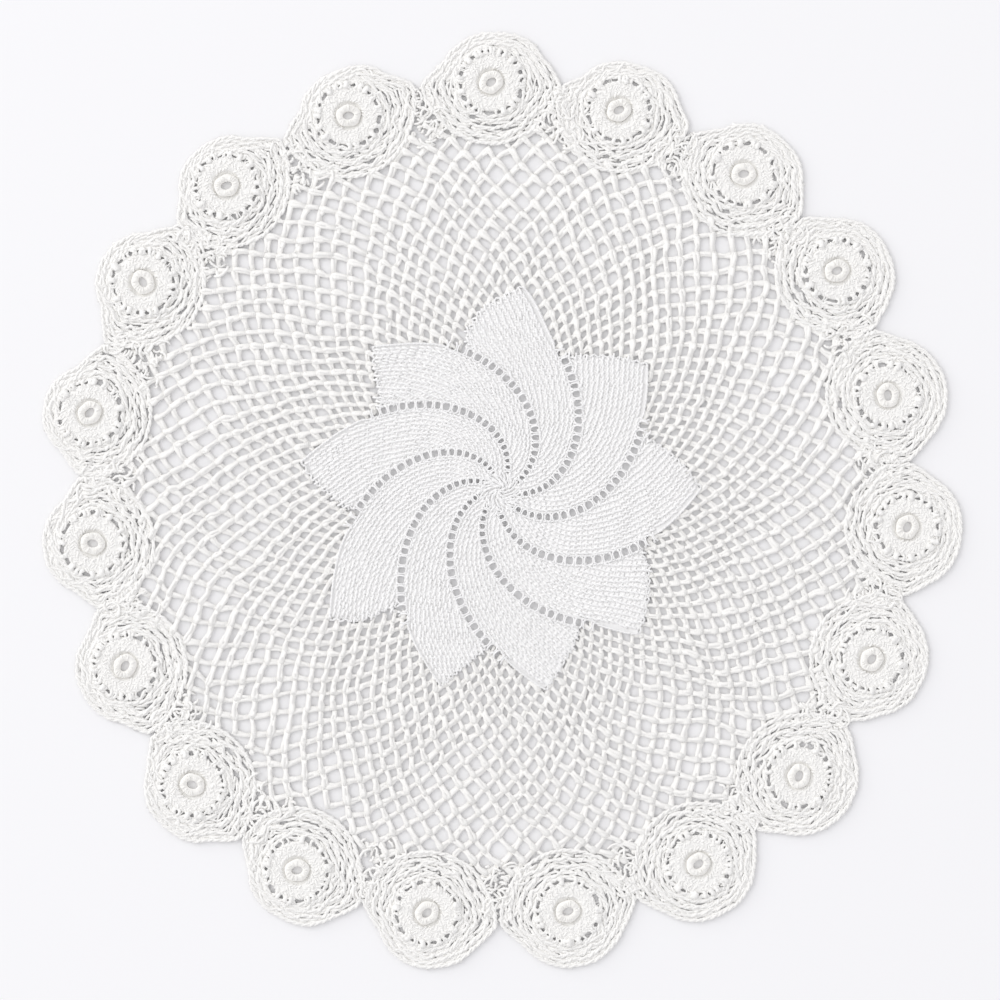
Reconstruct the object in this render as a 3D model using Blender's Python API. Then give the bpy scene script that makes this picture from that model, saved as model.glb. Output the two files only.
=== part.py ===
"""Round lace doily, laid flat.

One knitted ground (a swirl of nine petals and a net round it) and nineteen crocheted wheels joined
round its edge. Metres, +Z up. The origin is the middle of the doily's outline, on the surface that
it lies on.
"""

import math
from typing import NamedTuple

import bmesh
import bpy
import numpy as np

MM = 0.001
WELD_DISTANCE = 0.01 * MM

# Thickness of the cloth, from the surface that it lies on.
NET_THICKNESS = 1.2 * MM
PIECE_GAP = 0.3 * MM

# The swirl: nine petals in stocking stitch, parted by eyelet lines.
PETAL_COUNT = 9
PETAL_PITCH_DEG = 360 / PETAL_COUNT
BOSS_RADIUS = 6.6 * MM
BOSS_TOP_SHARE = 0.8
BOSS_HEIGHT = 1.85 * MM
BOSS_SIDES = 27
PETAL_START_RADIUS = 5.8 * MM
PETAL_EDGE_HEIGHT = 1.45 * MM
PETAL_CROWN_HEIGHT = 1.95 * MM
PETAL_FOOT = 0.5 * MM
EYELET_LINE_WIDTH = 1.8 * MM
PETAL_CROSS_CELLS = 4
PETAL_LONG_CELLS = 8

# The eyelet lines turn counter-clockwise as they run out: start + slope * radius + bend * radius^2.
SPIRAL_START_DEG = -64.6
SPIRAL_SLOPE_DEG = 185.0 / (100 * MM)
SPIRAL_BEND_DEG = -62.0 / (100 * MM) ** 2


class EyeletLine(NamedTuple):
    """One eyelet line, and the petal that lies counter-clockwise of it."""

    turn_deg: float  # from its even place
    valley: float  # radius where the line ends, mm
    tip: float  # radius of the petal's tip, mm
    tip_turn_deg: float  # of the tip, from its even place


EYELET_LINES = (
    EyeletLine(0.9, 62, 80, -0.5),
    EyeletLine(1.5, 63, 87, -4.8),
    EyeletLine(-1.2, 64, 82, 4.6),
    EyeletLine(-1.2, 63, 84, 1.8),
    EyeletLine(0.2, 62, 86, 5.2),
    EyeletLine(1.6, 61, 80, 6.8),
    EyeletLine(0.0, 61, 79, -1.1),
    EyeletLine(-1.7, 60, 77, -6.5),
    EyeletLine(-0.6, 59, 80, -0.7),
)


class RingCentre(NamedTuple):
    """Where the middle of one round of the cloth lies: the inner rounds are laid off centre."""

    radius: float
    x: float
    y: float


RING_CENTRES = (
    RingCentre(0, -0.2, 4.0),
    RingCentre(65, 2.5, 0.1),
    RingCentre(142, 0.0, 0.0),
)

# The net, cut at twice the pitch of the real one.
NET_SPIRALS = 46
NET_ROWS = 6
NET_INNER_RADIUS = 84.2 * MM
NET_CELL_STRETCH = 1.1
NET_BAR_SHARE = 0.26

# The scalloped line where the net meets the wheels: nearer the middle under each wheel.
JOIN_RADIUS = 147.6 * MM
JOIN_WAVE = 3.4 * MM


class Wheel(NamedTuple):
    """One crocheted wheel: the place of its hole and how far its rounds reach from it."""

    angle_deg: float
    radius: float  # of the hole's middle from the net's middle, mm
    reach: float  # outward, mm
    clockwise_reach: float  # towards its clockwise neighbour, mm
    counter_reach: float  # towards its other neighbour, mm
    hole_turn_deg: float  # of the oval hole's long way


WHEELS = (
    Wheel(15.1, 162.7, 24.4, 24.6, 23.9, 93),
    Wheel(34.2, 165.0, 22.3, 24.6, 21.6, 23),
    Wheel(53.2, 164.8, 21.2, 24.4, 20.4, 11),
    Wheel(73.0, 165.0, 20.0, 24.4, 20.2, 30),
    Wheel(91.2, 169.1, 20.4, 23.6, 20.8, 35),
    Wheel(111.5, 167.2, 19.0, 22.6, 19.8, 6),
    Wheel(131.0, 168.6, 18.8, 20.8, 19.6, 16),
    Wheel(148.6, 169.2, 19.2, 20.2, 19.8, 124),
    Wheel(168.0, 169.7, 19.2, 19.4, 19.8, 44),
    Wheel(186.1, 165.7, 20.6, 21.2, 21.0, 171),
    Wheel(203.9, 165.9, 20.6, 20.0, 23.2, 53),
    Wheel(222.8, 169.6, 20.4, 19.6, 24.0, 161),
    Wheel(241.3, 170.9, 20.6, 20.0, 24.2, 9),
    Wheel(260.0, 169.7, 22.6, 21.2, 24.4, 41),
    Wheel(279.4, 168.8, 23.0, 23.2, 24.0, 20),
    Wheel(298.6, 167.9, 23.0, 24.2, 23.4, 40),
    Wheel(317.3, 164.8, 24.0, 24.4, 24.6, 70),
    Wheel(336.8, 163.8, 22.9, 23.6, 24.0, 50),
    Wheel(356.2, 165.3, 22.6, 24.8, 22.8, 63),
)

SIDE_REACH_AT_DEG = 60
NOTCH_BEYOND_HOLES = 2.6 * MM
NOTCH_EASE = 1.5
HOLE_LENGTH = 4.6 * MM
HOLE_WIDTH = 3.2 * MM
RIM_SHARE = 0.9


class Round(NamedTuple):
    """One round of a wheel's relief."""

    radius: float  # mm
    height: float  # mm


PADDED_RING = Round(4.3, 2.8)
PADDED_GROOVE = Round(6.2, 1.5)
DENSE_RING = Round(8.8, 2.3)
EYELET_TROUGH = Round(12.2, 1.0)
HOLE_EDGE_HEIGHT = 1.9 * MM
RIM_CROWN_HEIGHT = 1.55 * MM
RIM_EDGE_HEIGHT = 1.0 * MM

# Cells round a wheel: along its scallop, along each seam and along its join to the net.
SCALLOP_CELLS = 12
SEAM_CELLS = 2
JOIN_CELLS = 5


def clear_scene() -> None:
    """Remove every object of the scene that the file opens with."""
    for thing in list(bpy.data.objects):
        bpy.data.objects.remove(thing, do_unlink=True)


def new_collection(name: str) -> bpy.types.Collection:
    """A collection of its own in the scene."""
    collection = bpy.data.collections.new(name)
    bpy.context.scene.collection.children.link(collection)
    return collection


def cotton(name: str, colour: tuple, roughness: float) -> bpy.types.Material:
    """A matt yarn of one colour."""
    material = bpy.data.materials.new(name)
    material.use_nodes = True
    shader = material.node_tree.nodes["Principled BSDF"]
    shader.inputs["Base Color"].default_value = (*colour, 1)
    shader.inputs["Roughness"].default_value = roughness
    shader.inputs["Metallic"].default_value = 0
    return material


def eased(start: float, end: float, share: float) -> float:
    """From start to end as share goes from 0 to 1, level at both ends."""
    share = min(max(share, 0), 1)
    return start + (end - start) * share * share * (3 - 2 * share)


def polar(radius: float, angle_deg: float) -> np.ndarray:
    """The point (x, y) at a radius and an angle."""
    angle = math.radians(angle_deg)
    return radius * np.array((math.cos(angle), math.sin(angle)))


def laid(radius: float, angle_deg: float) -> np.ndarray:
    """The place of a point of the ground, whose inner rounds lie off centre."""
    rings = [ring.radius * MM for ring in RING_CENTRES]
    middle_x = np.interp(radius, rings, [ring.x * MM for ring in RING_CENTRES])
    middle_y = np.interp(radius, rings, [ring.y * MM for ring in RING_CENTRES])
    return polar(radius, angle_deg) + (middle_x, middle_y)


def line_angle(index: int, radius: float) -> float:
    """The angle of an eyelet line, or of the petal's side that carries it on, at a radius."""
    line = EYELET_LINES[index % PETAL_COUNT]
    spiral = SPIRAL_START_DEG + SPIRAL_SLOPE_DEG * radius + SPIRAL_BEND_DEG * radius**2
    valley, tip = line.valley * MM, line.tip * MM
    turn = eased(line.turn_deg, line.tip_turn_deg, (radius - valley) / (tip - valley))
    return PETAL_PITCH_DEG * index + spiral + turn


def petal_point(index: int, across: float, along: float) -> tuple:
    """A point of a petal's top: across from its own eyelet line to the next, along from the middle out."""
    tip = EYELET_LINES[index].tip * MM
    valley = EYELET_LINES[(index + 1) % PETAL_COUNT].valley * MM
    end = tip + (valley - tip) * across
    radius = PETAL_START_RADIUS + (end - PETAL_START_RADIUS) * along
    first, second = line_angle(index, radius), line_angle(index + 1, radius)
    inset = math.degrees(EYELET_LINE_WIDTH / 2 / radius)
    angle = first + inset + (second - first - 2 * inset) * across
    at_end = along > 1 - 0.5 / PETAL_LONG_CELLS
    crown = 0 if at_end else 1 - (2 * across - 1) ** 2
    height = PETAL_EDGE_HEIGHT + (PETAL_CROWN_HEIGHT - PETAL_EDGE_HEIGHT) * crown
    return (*laid(radius, angle), height)


def link(name: str, mesh: bpy.types.Mesh, collection: bpy.types.Collection) -> bpy.types.Object:
    """A new object that shows the mesh, in the collection."""
    thing = bpy.data.objects.new(name, mesh)
    collection.objects.link(thing)
    return thing


def make_petal(index: int, collection: bpy.types.Collection) -> None:
    """A crowned blade that is let into the sheet: a grid bent to its place, with walls down to a foot."""
    shape = bmesh.new()
    bmesh.ops.create_grid(shape, x_segments=PETAL_CROSS_CELLS, y_segments=PETAL_LONG_CELLS, size=1)
    for point in shape.verts:
        point.co = petal_point(index, (point.co.x + 1) / 2, (point.co.y + 1) / 2)
    foot = bmesh.ops.extrude_face_region(shape, geom=shape.faces[:])
    for point in foot["geom"]:
        if isinstance(point, bmesh.types.BMVert):
            point.co.z = PETAL_FOOT
    bmesh.ops.recalc_face_normals(shape, faces=shape.faces[:])
    mesh = bpy.data.meshes.new(f"petal_{index + 1}")
    shape.to_mesh(mesh)
    shape.free()
    link(f"petal_{index + 1}", mesh, collection)


def make_boss(collection: bpy.types.Collection) -> None:
    """The round middle, where the petals start."""
    shape = bmesh.new()
    depth = BOSS_HEIGHT - PETAL_FOOT
    bmesh.ops.create_cone(
        shape,
        cap_ends=True,
        segments=BOSS_SIDES,
        radius1=BOSS_RADIUS,
        radius2=BOSS_RADIUS * BOSS_TOP_SHARE,
        depth=depth,
    )
    bmesh.ops.translate(shape, verts=shape.verts, vec=(*laid(0, 0), PETAL_FOOT + depth / 2))
    mesh = bpy.data.meshes.new("middle")
    shape.to_mesh(mesh)
    shape.free()
    link("middle", mesh, collection)


def seam_angle(index: int) -> float:
    """The angle of the seam between a wheel and its counter-clockwise neighbour."""
    wheel, other = WHEELS[index % len(WHEELS)], WHEELS[(index + 1) % len(WHEELS)]
    share = wheel.counter_reach / (wheel.counter_reach + other.clockwise_reach)
    return wheel.angle_deg + (other.angle_deg - wheel.angle_deg) % 360 * share


def join_radius(angle_deg: float) -> float:
    """The radius of the line where the net meets the wheels."""
    for index, wheel in enumerate(WHEELS):
        start, end = seam_angle(index - 1), seam_angle(index)
        if (angle_deg - start) % 360 < (end - start) % 360:
            before = (wheel.angle_deg - start) % 360
            after = (end - wheel.angle_deg) % 360
            here = (angle_deg - start) % 360 - before
            share = here / (after if here > 0 else before)
            return JOIN_RADIUS - JOIN_WAVE * math.cos(math.pi * share)
    raise ValueError(angle_deg)


def net_holes() -> list:
    """The diamonds of the net: rows of holes, each row half a cell round from the one inside it."""
    half_angle = 180 / NET_SPIRALS
    half_growth = math.radians(half_angle) * NET_CELL_STRETCH
    open_share = 1 - NET_BAR_SHARE
    holes = []
    for row in range(NET_ROWS):
        radius = NET_INNER_RADIUS * math.exp(half_growth * (row + 1))
        outer = radius * math.exp(half_growth * open_share)
        inner = radius * math.exp(-half_growth * open_share)
        for cell in range(NET_SPIRALS):
            angle = (2 * cell + row % 2) * half_angle
            side = half_angle * open_share
            corners = ((outer, angle), (radius, angle + side), (inner, angle), (radius, angle - side))
            holes.append([laid(*corner) for corner in corners])
    return holes


def ground_outline() -> list:
    """The ground's scalloped edge."""
    points = []
    for index in range(len(WHEELS)):
        start = seam_angle(index - 1)
        width = (seam_angle(index) - start) % 360
        for step in range(JOIN_CELLS):
            angle = start + width * step / JOIN_CELLS
            points.append(polar(join_radius(angle), angle))
    return points


def flat_sheet(name: str, outlines: list, thickness: float) -> bpy.types.Mesh:
    """A sheet on the surface, with an outline and the holes in it, as one welded mesh."""
    curve = bpy.data.curves.new(name, "CURVE")
    curve.dimensions = "2D"
    curve.fill_mode = "BOTH"
    curve.extrude = thickness / 2
    for outline in outlines:
        spline = curve.splines.new("POLY")
        spline.points.add(len(outline) - 1)
        spline.use_cyclic_u = True
        for point, (x, y) in zip(spline.points, outline, strict=True):
            point.co = (x, y, 0, 1)
    flat = bpy.data.objects.new(name, curve)
    bpy.context.scene.collection.objects.link(flat)
    bpy.context.view_layer.update()
    mesh = bpy.data.meshes.new_from_object(flat.evaluated_get(bpy.context.evaluated_depsgraph_get()))
    bpy.data.objects.remove(flat)
    bpy.data.curves.remove(curve)
    shape = bmesh.new()
    shape.from_mesh(mesh)
    bmesh.ops.remove_doubles(shape, verts=shape.verts[:], dist=WELD_DISTANCE)
    bmesh.ops.translate(shape, verts=shape.verts[:], vec=(0, 0, thickness / 2))
    bmesh.ops.recalc_face_normals(shape, faces=shape.faces[:])
    shape.to_mesh(mesh)
    shape.free()
    mesh.name = name
    return mesh


def make_ground(parts: bpy.types.Collection, raised: bpy.types.Collection) -> bpy.types.Object:
    """The net sheet with the swirl raised on it."""
    sheet = flat_sheet("knitted_ground", [ground_outline(), *net_holes()], NET_THICKNESS)
    ground = link("knitted_ground", sheet, parts)
    for index in range(PETAL_COUNT):
        make_petal(index, raised)
    make_boss(raised)
    for helper in raised.objects:
        helper.hide_render = True
        helper.display_type = "WIRE"
    join = ground.modifiers.new("raised_swirl", "BOOLEAN")
    join.operation = "UNION"
    join.operand_type = "COLLECTION"
    join.collection = raised
    join.solver = "EXACT"
    return ground


def notch(index: int) -> tuple:
    """(radius, angle) of the notch between a wheel and its counter-clockwise neighbour."""
    wheel, other = WHEELS[index % len(WHEELS)], WHEELS[(index + 1) % len(WHEELS)]
    return (wheel.radius + other.radius) / 2 * MM + NOTCH_BEYOND_HOLES, seam_angle(index)


def beside(radius: float, angle_deg: float, side: int) -> np.ndarray:
    """A point beside a seam, half the gap away from it."""
    return polar(radius, angle_deg + side * math.degrees(PIECE_GAP / 2 / radius))


def seam_points(index: int, side: int) -> list:
    """The points of one side of a seam, between its notch and its foot on the join line."""
    angle = seam_angle(index)
    start, end = notch(index)[0], join_radius(angle) + PIECE_GAP
    shares = [step / SEAM_CELLS for step in range(1, SEAM_CELLS)]
    return [beside(start + (end - start) * share, angle, side) for share in shares]


def scallop(index: int) -> list:
    """The outer curve of a wheel, from its clockwise notch to the other."""
    wheel = WHEELS[index]
    hole = polar(wheel.radius * MM, wheel.angle_deg)
    ends = (beside(*notch(index - 1), 1), beside(*notch(index), -1))
    bearings, reaches = [], []
    for end in ends:
        away = end - hole
        bearing = math.degrees(math.atan2(away[1], away[0])) - wheel.angle_deg
        bearings.append((bearing + 180) % 360 - 180)
        reaches.append(math.hypot(*away))
    sides = (wheel.clockwise_reach * MM, wheel.counter_reach * MM)
    points = []
    for step in range(SCALLOP_CELLS + 1):
        bearing = bearings[0] + (bearings[1] - bearings[0]) * step / SCALLOP_CELLS
        side = int(bearing > 0)
        if abs(bearing) < SIDE_REACH_AT_DEG:
            reach = eased(wheel.reach * MM, sides[side], abs(bearing) / SIDE_REACH_AT_DEG)
        else:
            last = abs(bearings[side]) - SIDE_REACH_AT_DEG
            share = min((abs(bearing) - SIDE_REACH_AT_DEG) / last, 1)
            reach = sides[side] + (reaches[side] - sides[side]) * share**NOTCH_EASE
        points.append(hole + polar(reach, wheel.angle_deg + bearing))
    return points


def wheel_outline(index: int) -> list:
    """The whole outline of a wheel, counter-clockwise: scallop, seam, join to the net, seam."""
    first, last = seam_angle(index - 1), seam_angle(index)
    width = (last - first) % 360
    join = []
    for step in range(JOIN_CELLS + 1):
        angle = last - width * step / JOIN_CELLS
        side = {0: -1, JOIN_CELLS: 1}.get(step, 0)
        join.append(beside(join_radius(angle) + PIECE_GAP, angle, side))
    counter_seam = seam_points(index, -1)
    clockwise_seam = seam_points(index - 1, 1)[::-1]
    return [*scallop(index), *counter_seam, *join, *clockwise_seam]


def oval_radius(bearing_deg: float) -> float:
    """How far a hole's edge is from its middle, at a bearing from its long way."""
    bearing = math.radians(bearing_deg)
    long_part = math.cos(bearing) / (HOLE_LENGTH / 2)
    wide_part = math.sin(bearing) / (HOLE_WIDTH / 2)
    return 1 / math.hypot(long_part, wide_part)


def wheel_rounds(index: int) -> list:
    """The rounds of points that a wheel's surface runs through, from the hole out and back below."""
    wheel = WHEELS[index]
    hole = polar(wheel.radius * MM, wheel.angle_deg)
    outline = wheel_outline(index)
    bearings = [math.degrees(math.atan2(y - hole[1], x - hole[0])) for x, y in outline]
    hole_edge = [hole + polar(oval_radius(b - wheel.hole_turn_deg), b) for b in bearings]
    rounds = [(hole_edge, HOLE_EDGE_HEIGHT)]
    for ring in (PADDED_RING, PADDED_GROOVE, DENSE_RING, EYELET_TROUGH):
        rounds.append(([hole + polar(ring.radius * MM, b) for b in bearings], ring.height * MM))
    rounds.append(([hole + (point - hole) * RIM_SHARE for point in outline], RIM_CROWN_HEIGHT))
    rounds.append((outline, RIM_EDGE_HEIGHT))
    rounds.append((outline, 0))
    rounds.append((hole_edge, 0))
    return rounds


def make_wheel(index: int, collection: bpy.types.Collection) -> bpy.types.Object:
    """A wheel, lofted through its rounds."""
    shape = bmesh.new()
    loops = []
    for points, height in wheel_rounds(index):
        verts = [shape.verts.new((x, y, height)) for x, y in points]
        edges = [shape.edges.new((a, b)) for a, b in zip(verts, verts[1:] + verts[:1], strict=True)]
        loops.append(edges)
    for inner, outer in zip(loops, loops[1:] + loops[:1], strict=True):
        bmesh.ops.bridge_loops(shape, edges=inner + outer)
    bmesh.ops.recalc_face_normals(shape, faces=shape.faces[:])
    name = f"wheel_{index + 1:02d}"
    mesh = bpy.data.meshes.new(name)
    shape.to_mesh(mesh)
    shape.free()
    return link(name, mesh, collection)


def centre_on_outline(things: list) -> None:
    """Move everything so that the outline's box has its middle on the origin."""
    corners = np.array([point for index in range(len(WHEELS)) for point in scallop(index)])
    middle = (corners.min(axis=0) + corners.max(axis=0)) / 2
    for thing in things:
        thing.location = (-middle[0], -middle[1], 0)


def main() -> None:
    """Build the doily."""
    clear_scene()
    parts = new_collection("lace_doily")
    raised = new_collection("raised_work")
    ground = make_ground(parts, raised)
    ground.data.materials.append(cotton("knitted_cotton", (0.86, 0.86, 0.87), 0.85))
    wheels = [make_wheel(index, parts) for index in range(len(WHEELS))]
    yarn = cotton("crochet_cotton", (0.88, 0.87, 0.86), 0.8)
    for wheel in wheels:
        wheel.data.materials.append(yarn)
    centre_on_outline([*parts.objects, *raised.objects])


main()
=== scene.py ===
"""Looks of the round lace doily: its cotton, thread by thread, on a plain floor in studio light.

The work is laid out in millimetres about the middle of the net and goes out in metres, in the frame
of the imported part.
"""

import logging
import math
from dataclasses import dataclass
from enum import Enum
from typing import NamedTuple

import bpy
import numpy as np
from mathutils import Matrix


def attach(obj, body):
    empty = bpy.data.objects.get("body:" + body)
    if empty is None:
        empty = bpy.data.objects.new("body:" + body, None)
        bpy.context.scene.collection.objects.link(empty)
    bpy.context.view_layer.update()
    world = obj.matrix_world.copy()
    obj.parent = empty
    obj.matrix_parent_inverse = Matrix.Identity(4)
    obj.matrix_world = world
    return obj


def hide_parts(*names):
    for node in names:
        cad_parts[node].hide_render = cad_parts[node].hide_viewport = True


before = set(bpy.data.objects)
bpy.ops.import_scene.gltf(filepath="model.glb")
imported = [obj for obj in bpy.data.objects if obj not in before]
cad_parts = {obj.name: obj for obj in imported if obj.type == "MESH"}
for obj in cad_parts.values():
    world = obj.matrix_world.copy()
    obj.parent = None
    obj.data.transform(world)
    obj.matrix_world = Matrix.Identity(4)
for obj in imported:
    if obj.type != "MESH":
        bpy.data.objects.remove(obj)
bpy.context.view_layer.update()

MM = 0.001
FULL_TURN = 360.0
BODY = "root"
LOG = logging.getLogger("doily")
UPRIGHT = np.array((0.0, 0.0, 1.0))
SHORTEST = 1e-9


class Slot(Enum):
    """The record's material slots."""

    KNITTED = "knitted_cotton"
    CROCHET = "crochet_cotton"


class Lean(Enum):
    """Which way a strand of the net turns as it runs out."""

    COUNTER_CLOCKWISE = 1
    CLOCKWISE = -1


class EyeletLine(NamedTuple):
    """One eyelet line of the swirl, and the petal that lies counter-clockwise of it."""

    turn_deg: float
    valley: float
    tip: float
    tip_turn_deg: float


class WheelPlace(NamedTuple):
    """One crocheted wheel: the place of its hole and how far its rounds reach from it."""

    angle_deg: float
    radius: float
    reach: float
    clockwise_reach: float
    counter_reach: float
    hole_turn_deg: float


class PathPoint(NamedTuple):
    """One point of a stitch's thread: how far along and across the stitch it lies, and how high."""

    along: float
    across: float
    height: float


EYELET_LINES = (
    EyeletLine(0.9, 62, 80, -0.5),
    EyeletLine(1.5, 63, 87, -4.8),
    EyeletLine(-1.2, 64, 82, 4.6),
    EyeletLine(-1.2, 63, 84, 1.8),
    EyeletLine(0.2, 62, 86, 5.2),
    EyeletLine(1.6, 61, 80, 6.8),
    EyeletLine(0.0, 61, 79, -1.1),
    EyeletLine(-1.7, 60, 77, -6.5),
    EyeletLine(-0.6, 59, 80, -0.7),
)

WHEELS = (
    WheelPlace(15.1, 162.7, 24.4, 24.6, 23.9, 93),
    WheelPlace(34.2, 165.0, 22.3, 24.6, 21.6, 23),
    WheelPlace(53.2, 164.8, 21.2, 24.4, 20.4, 11),
    WheelPlace(73.0, 165.0, 20.0, 24.4, 20.2, 30),
    WheelPlace(91.2, 169.1, 20.4, 23.6, 20.8, 35),
    WheelPlace(111.5, 167.2, 19.0, 22.6, 19.8, 6),
    WheelPlace(131.0, 168.6, 18.8, 20.8, 19.6, 16),
    WheelPlace(148.6, 169.2, 19.2, 20.2, 19.8, 124),
    WheelPlace(168.0, 169.7, 19.2, 19.4, 19.8, 44),
    WheelPlace(186.1, 165.7, 20.6, 21.2, 21.0, 171),
    WheelPlace(203.9, 165.9, 20.6, 20.0, 23.2, 53),
    WheelPlace(222.8, 169.6, 20.4, 19.6, 24.0, 161),
    WheelPlace(241.3, 170.9, 20.6, 20.0, 24.2, 9),
    WheelPlace(260.0, 169.7, 22.6, 21.2, 24.4, 41),
    WheelPlace(279.4, 168.8, 23.0, 23.2, 24.0, 20),
    WheelPlace(298.6, 167.9, 23.0, 24.2, 23.4, 40),
    WheelPlace(317.3, 164.8, 24.0, 24.4, 24.6, 70),
    WheelPlace(336.8, 163.8, 22.9, 23.6, 24.0, 50),
    WheelPlace(356.2, 165.3, 22.6, 24.8, 22.8, 63),
)


def eased(start: float, end: float, share: np.ndarray) -> np.ndarray:
    """Go from start to end as share goes from 0 to 1, level at both ends."""
    share = np.clip(share, 0, 1)
    return start + (end - start) * share * share * (3 - 2 * share)


def polar(radius: np.ndarray, angle_deg: np.ndarray) -> np.ndarray:
    """Turn radii, and angles in degrees, into points with x and y on the last axis."""
    angle = np.radians(angle_deg)
    return np.stack([radius * np.cos(angle), radius * np.sin(angle)], axis=-1)


def unit(vectors: np.ndarray) -> np.ndarray:
    """Scale vectors to length one."""
    return vectors / np.maximum(np.linalg.norm(vectors, axis=-1, keepdims=True), SHORTEST)


def quarter_turn(vectors: np.ndarray) -> np.ndarray:
    """Turn flat vectors a quarter turn counter-clockwise."""
    return np.stack([-vectors[..., 1], vectors[..., 0]], axis=-1)


def raised(points: np.ndarray, height: np.ndarray) -> np.ndarray:
    """Give flat points a height."""
    tall = np.broadcast_to(height, points.shape[:-1])
    return np.concatenate([points, tall[..., None]], axis=-1)


def run_along(line: np.ndarray) -> np.ndarray:
    """Measure how far along a line each of its points lies."""
    steps = np.linalg.norm(np.diff(line, axis=0), axis=1)
    return np.concatenate([[0], np.cumsum(steps)])


def even_bearings(count: int) -> np.ndarray:
    """Divide a full turn evenly."""
    return np.linspace(0, FULL_TURN, count, endpoint=False)


def within_half_turn(angle_deg: float | np.ndarray) -> float | np.ndarray:
    """Bring angles to between minus and plus half a turn."""
    return (angle_deg + FULL_TURN / 2) % FULL_TURN - FULL_TURN / 2


class HandWork:
    """The unevenness of work done by hand, alike on every run."""

    FARTHEST = 2.2
    WAVES = 7
    WAVE_STRETCH = (0.7, 1.6)

    def __init__(self, seed: int) -> None:
        """Start from a seed of its own."""
        self.random = np.random.default_rng(seed)

    def spread(self, shape: tuple, size: float) -> np.ndarray:
        """Draw values about zero, with none far out."""
        return np.clip(self.random.normal(0, 1, shape), -self.FARTHEST, self.FARTHEST) * size

    def drift(self, points: np.ndarray, size: float, length: float) -> np.ndarray:
        """Move a whole neighbourhood one way, as cloth does when it is patted flat.

        Args:
            points: Points with x and y on the last axis.
            size: The usual size of the move, in millimetres.
            length: How far apart the moves differ, in millimetres.

        Returns:
            The moves, in the shape of points.
        """
        heading = self.random.uniform(0, 2 * math.pi, self.WAVES)
        stretch = self.random.uniform(*self.WAVE_STRETCH, self.WAVES) * 2 * math.pi / length
        phase = self.random.uniform(0, 2 * math.pi, self.WAVES)
        push = self.random.normal(0, 1, (self.WAVES, 2)) * size / math.sqrt(self.WAVES / 2)
        ways = np.stack([np.cos(heading) * stretch, np.sin(heading) * stretch])
        return np.sin(points @ ways + phase) @ push


@dataclass(frozen=True)
class Rope:
    """Two plies of crochet cotton twisted round each other and pressed flat."""

    ply_radius: float = 0.68
    half_width: float = 0.4
    half_rise: float = 0.16
    turn_length: float = 5.8
    height: float = 1.4
    step: float = 0.9
    press: float = 0.6
    pace_unevenness: float = 0.25
    width_unevenness: float = 0.2
    start_spread: float = 3.0

    def plies(self, hand: HandWork, line: np.ndarray, outward: np.ndarray) -> np.ndarray:
        """Twist two plies along each line.

        Args:
            hand: The hand that works them.
            line: Lines with a step between points, by line and point.
            outward: Unit vectors square to the lines.

        Returns:
            The plies' paths.
        """
        pace = 1 + hand.spread(line.shape[:2], self.pace_unevenness)
        run = np.cumsum(pace, axis=1)
        turns = max(round(line.shape[1] * self.step / self.turn_length), 1)
        start = hand.spread((len(line), 1), self.start_spread)
        phase = 2 * math.pi * turns * run / run[:, -1:] + start
        width = self.half_width * (1 + hand.spread(phase.shape, self.width_unevenness))
        plies = []
        for sign in (-1, 1):
            side = sign * width * np.cos(phase)
            rise = self.height + sign * self.half_rise * np.sin(phase)
            plies.append(raised(line + outward * side[..., None], rise))
        return np.concatenate(plies)


def closed_ring(flat: np.ndarray, heights: np.ndarray) -> tuple:
    """Close a section that goes round a middle.

    Args:
        flat: The section's points by spoke, without their heights.
        heights: The heights.

    Returns:
        The surface's points and its faces' corners.
    """
    spokes, count = flat.shape[:2]
    points = raised(flat, heights).reshape(-1, 3)
    grid = np.arange(spokes * count).reshape(spokes, count)
    beside, above = np.roll(grid, -1, axis=0), np.roll(grid, -1, axis=1)
    corner = np.roll(beside, -1, axis=1)
    return points, np.stack([grid, above, corner, beside], axis=-1).reshape(-1, 4)


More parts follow.
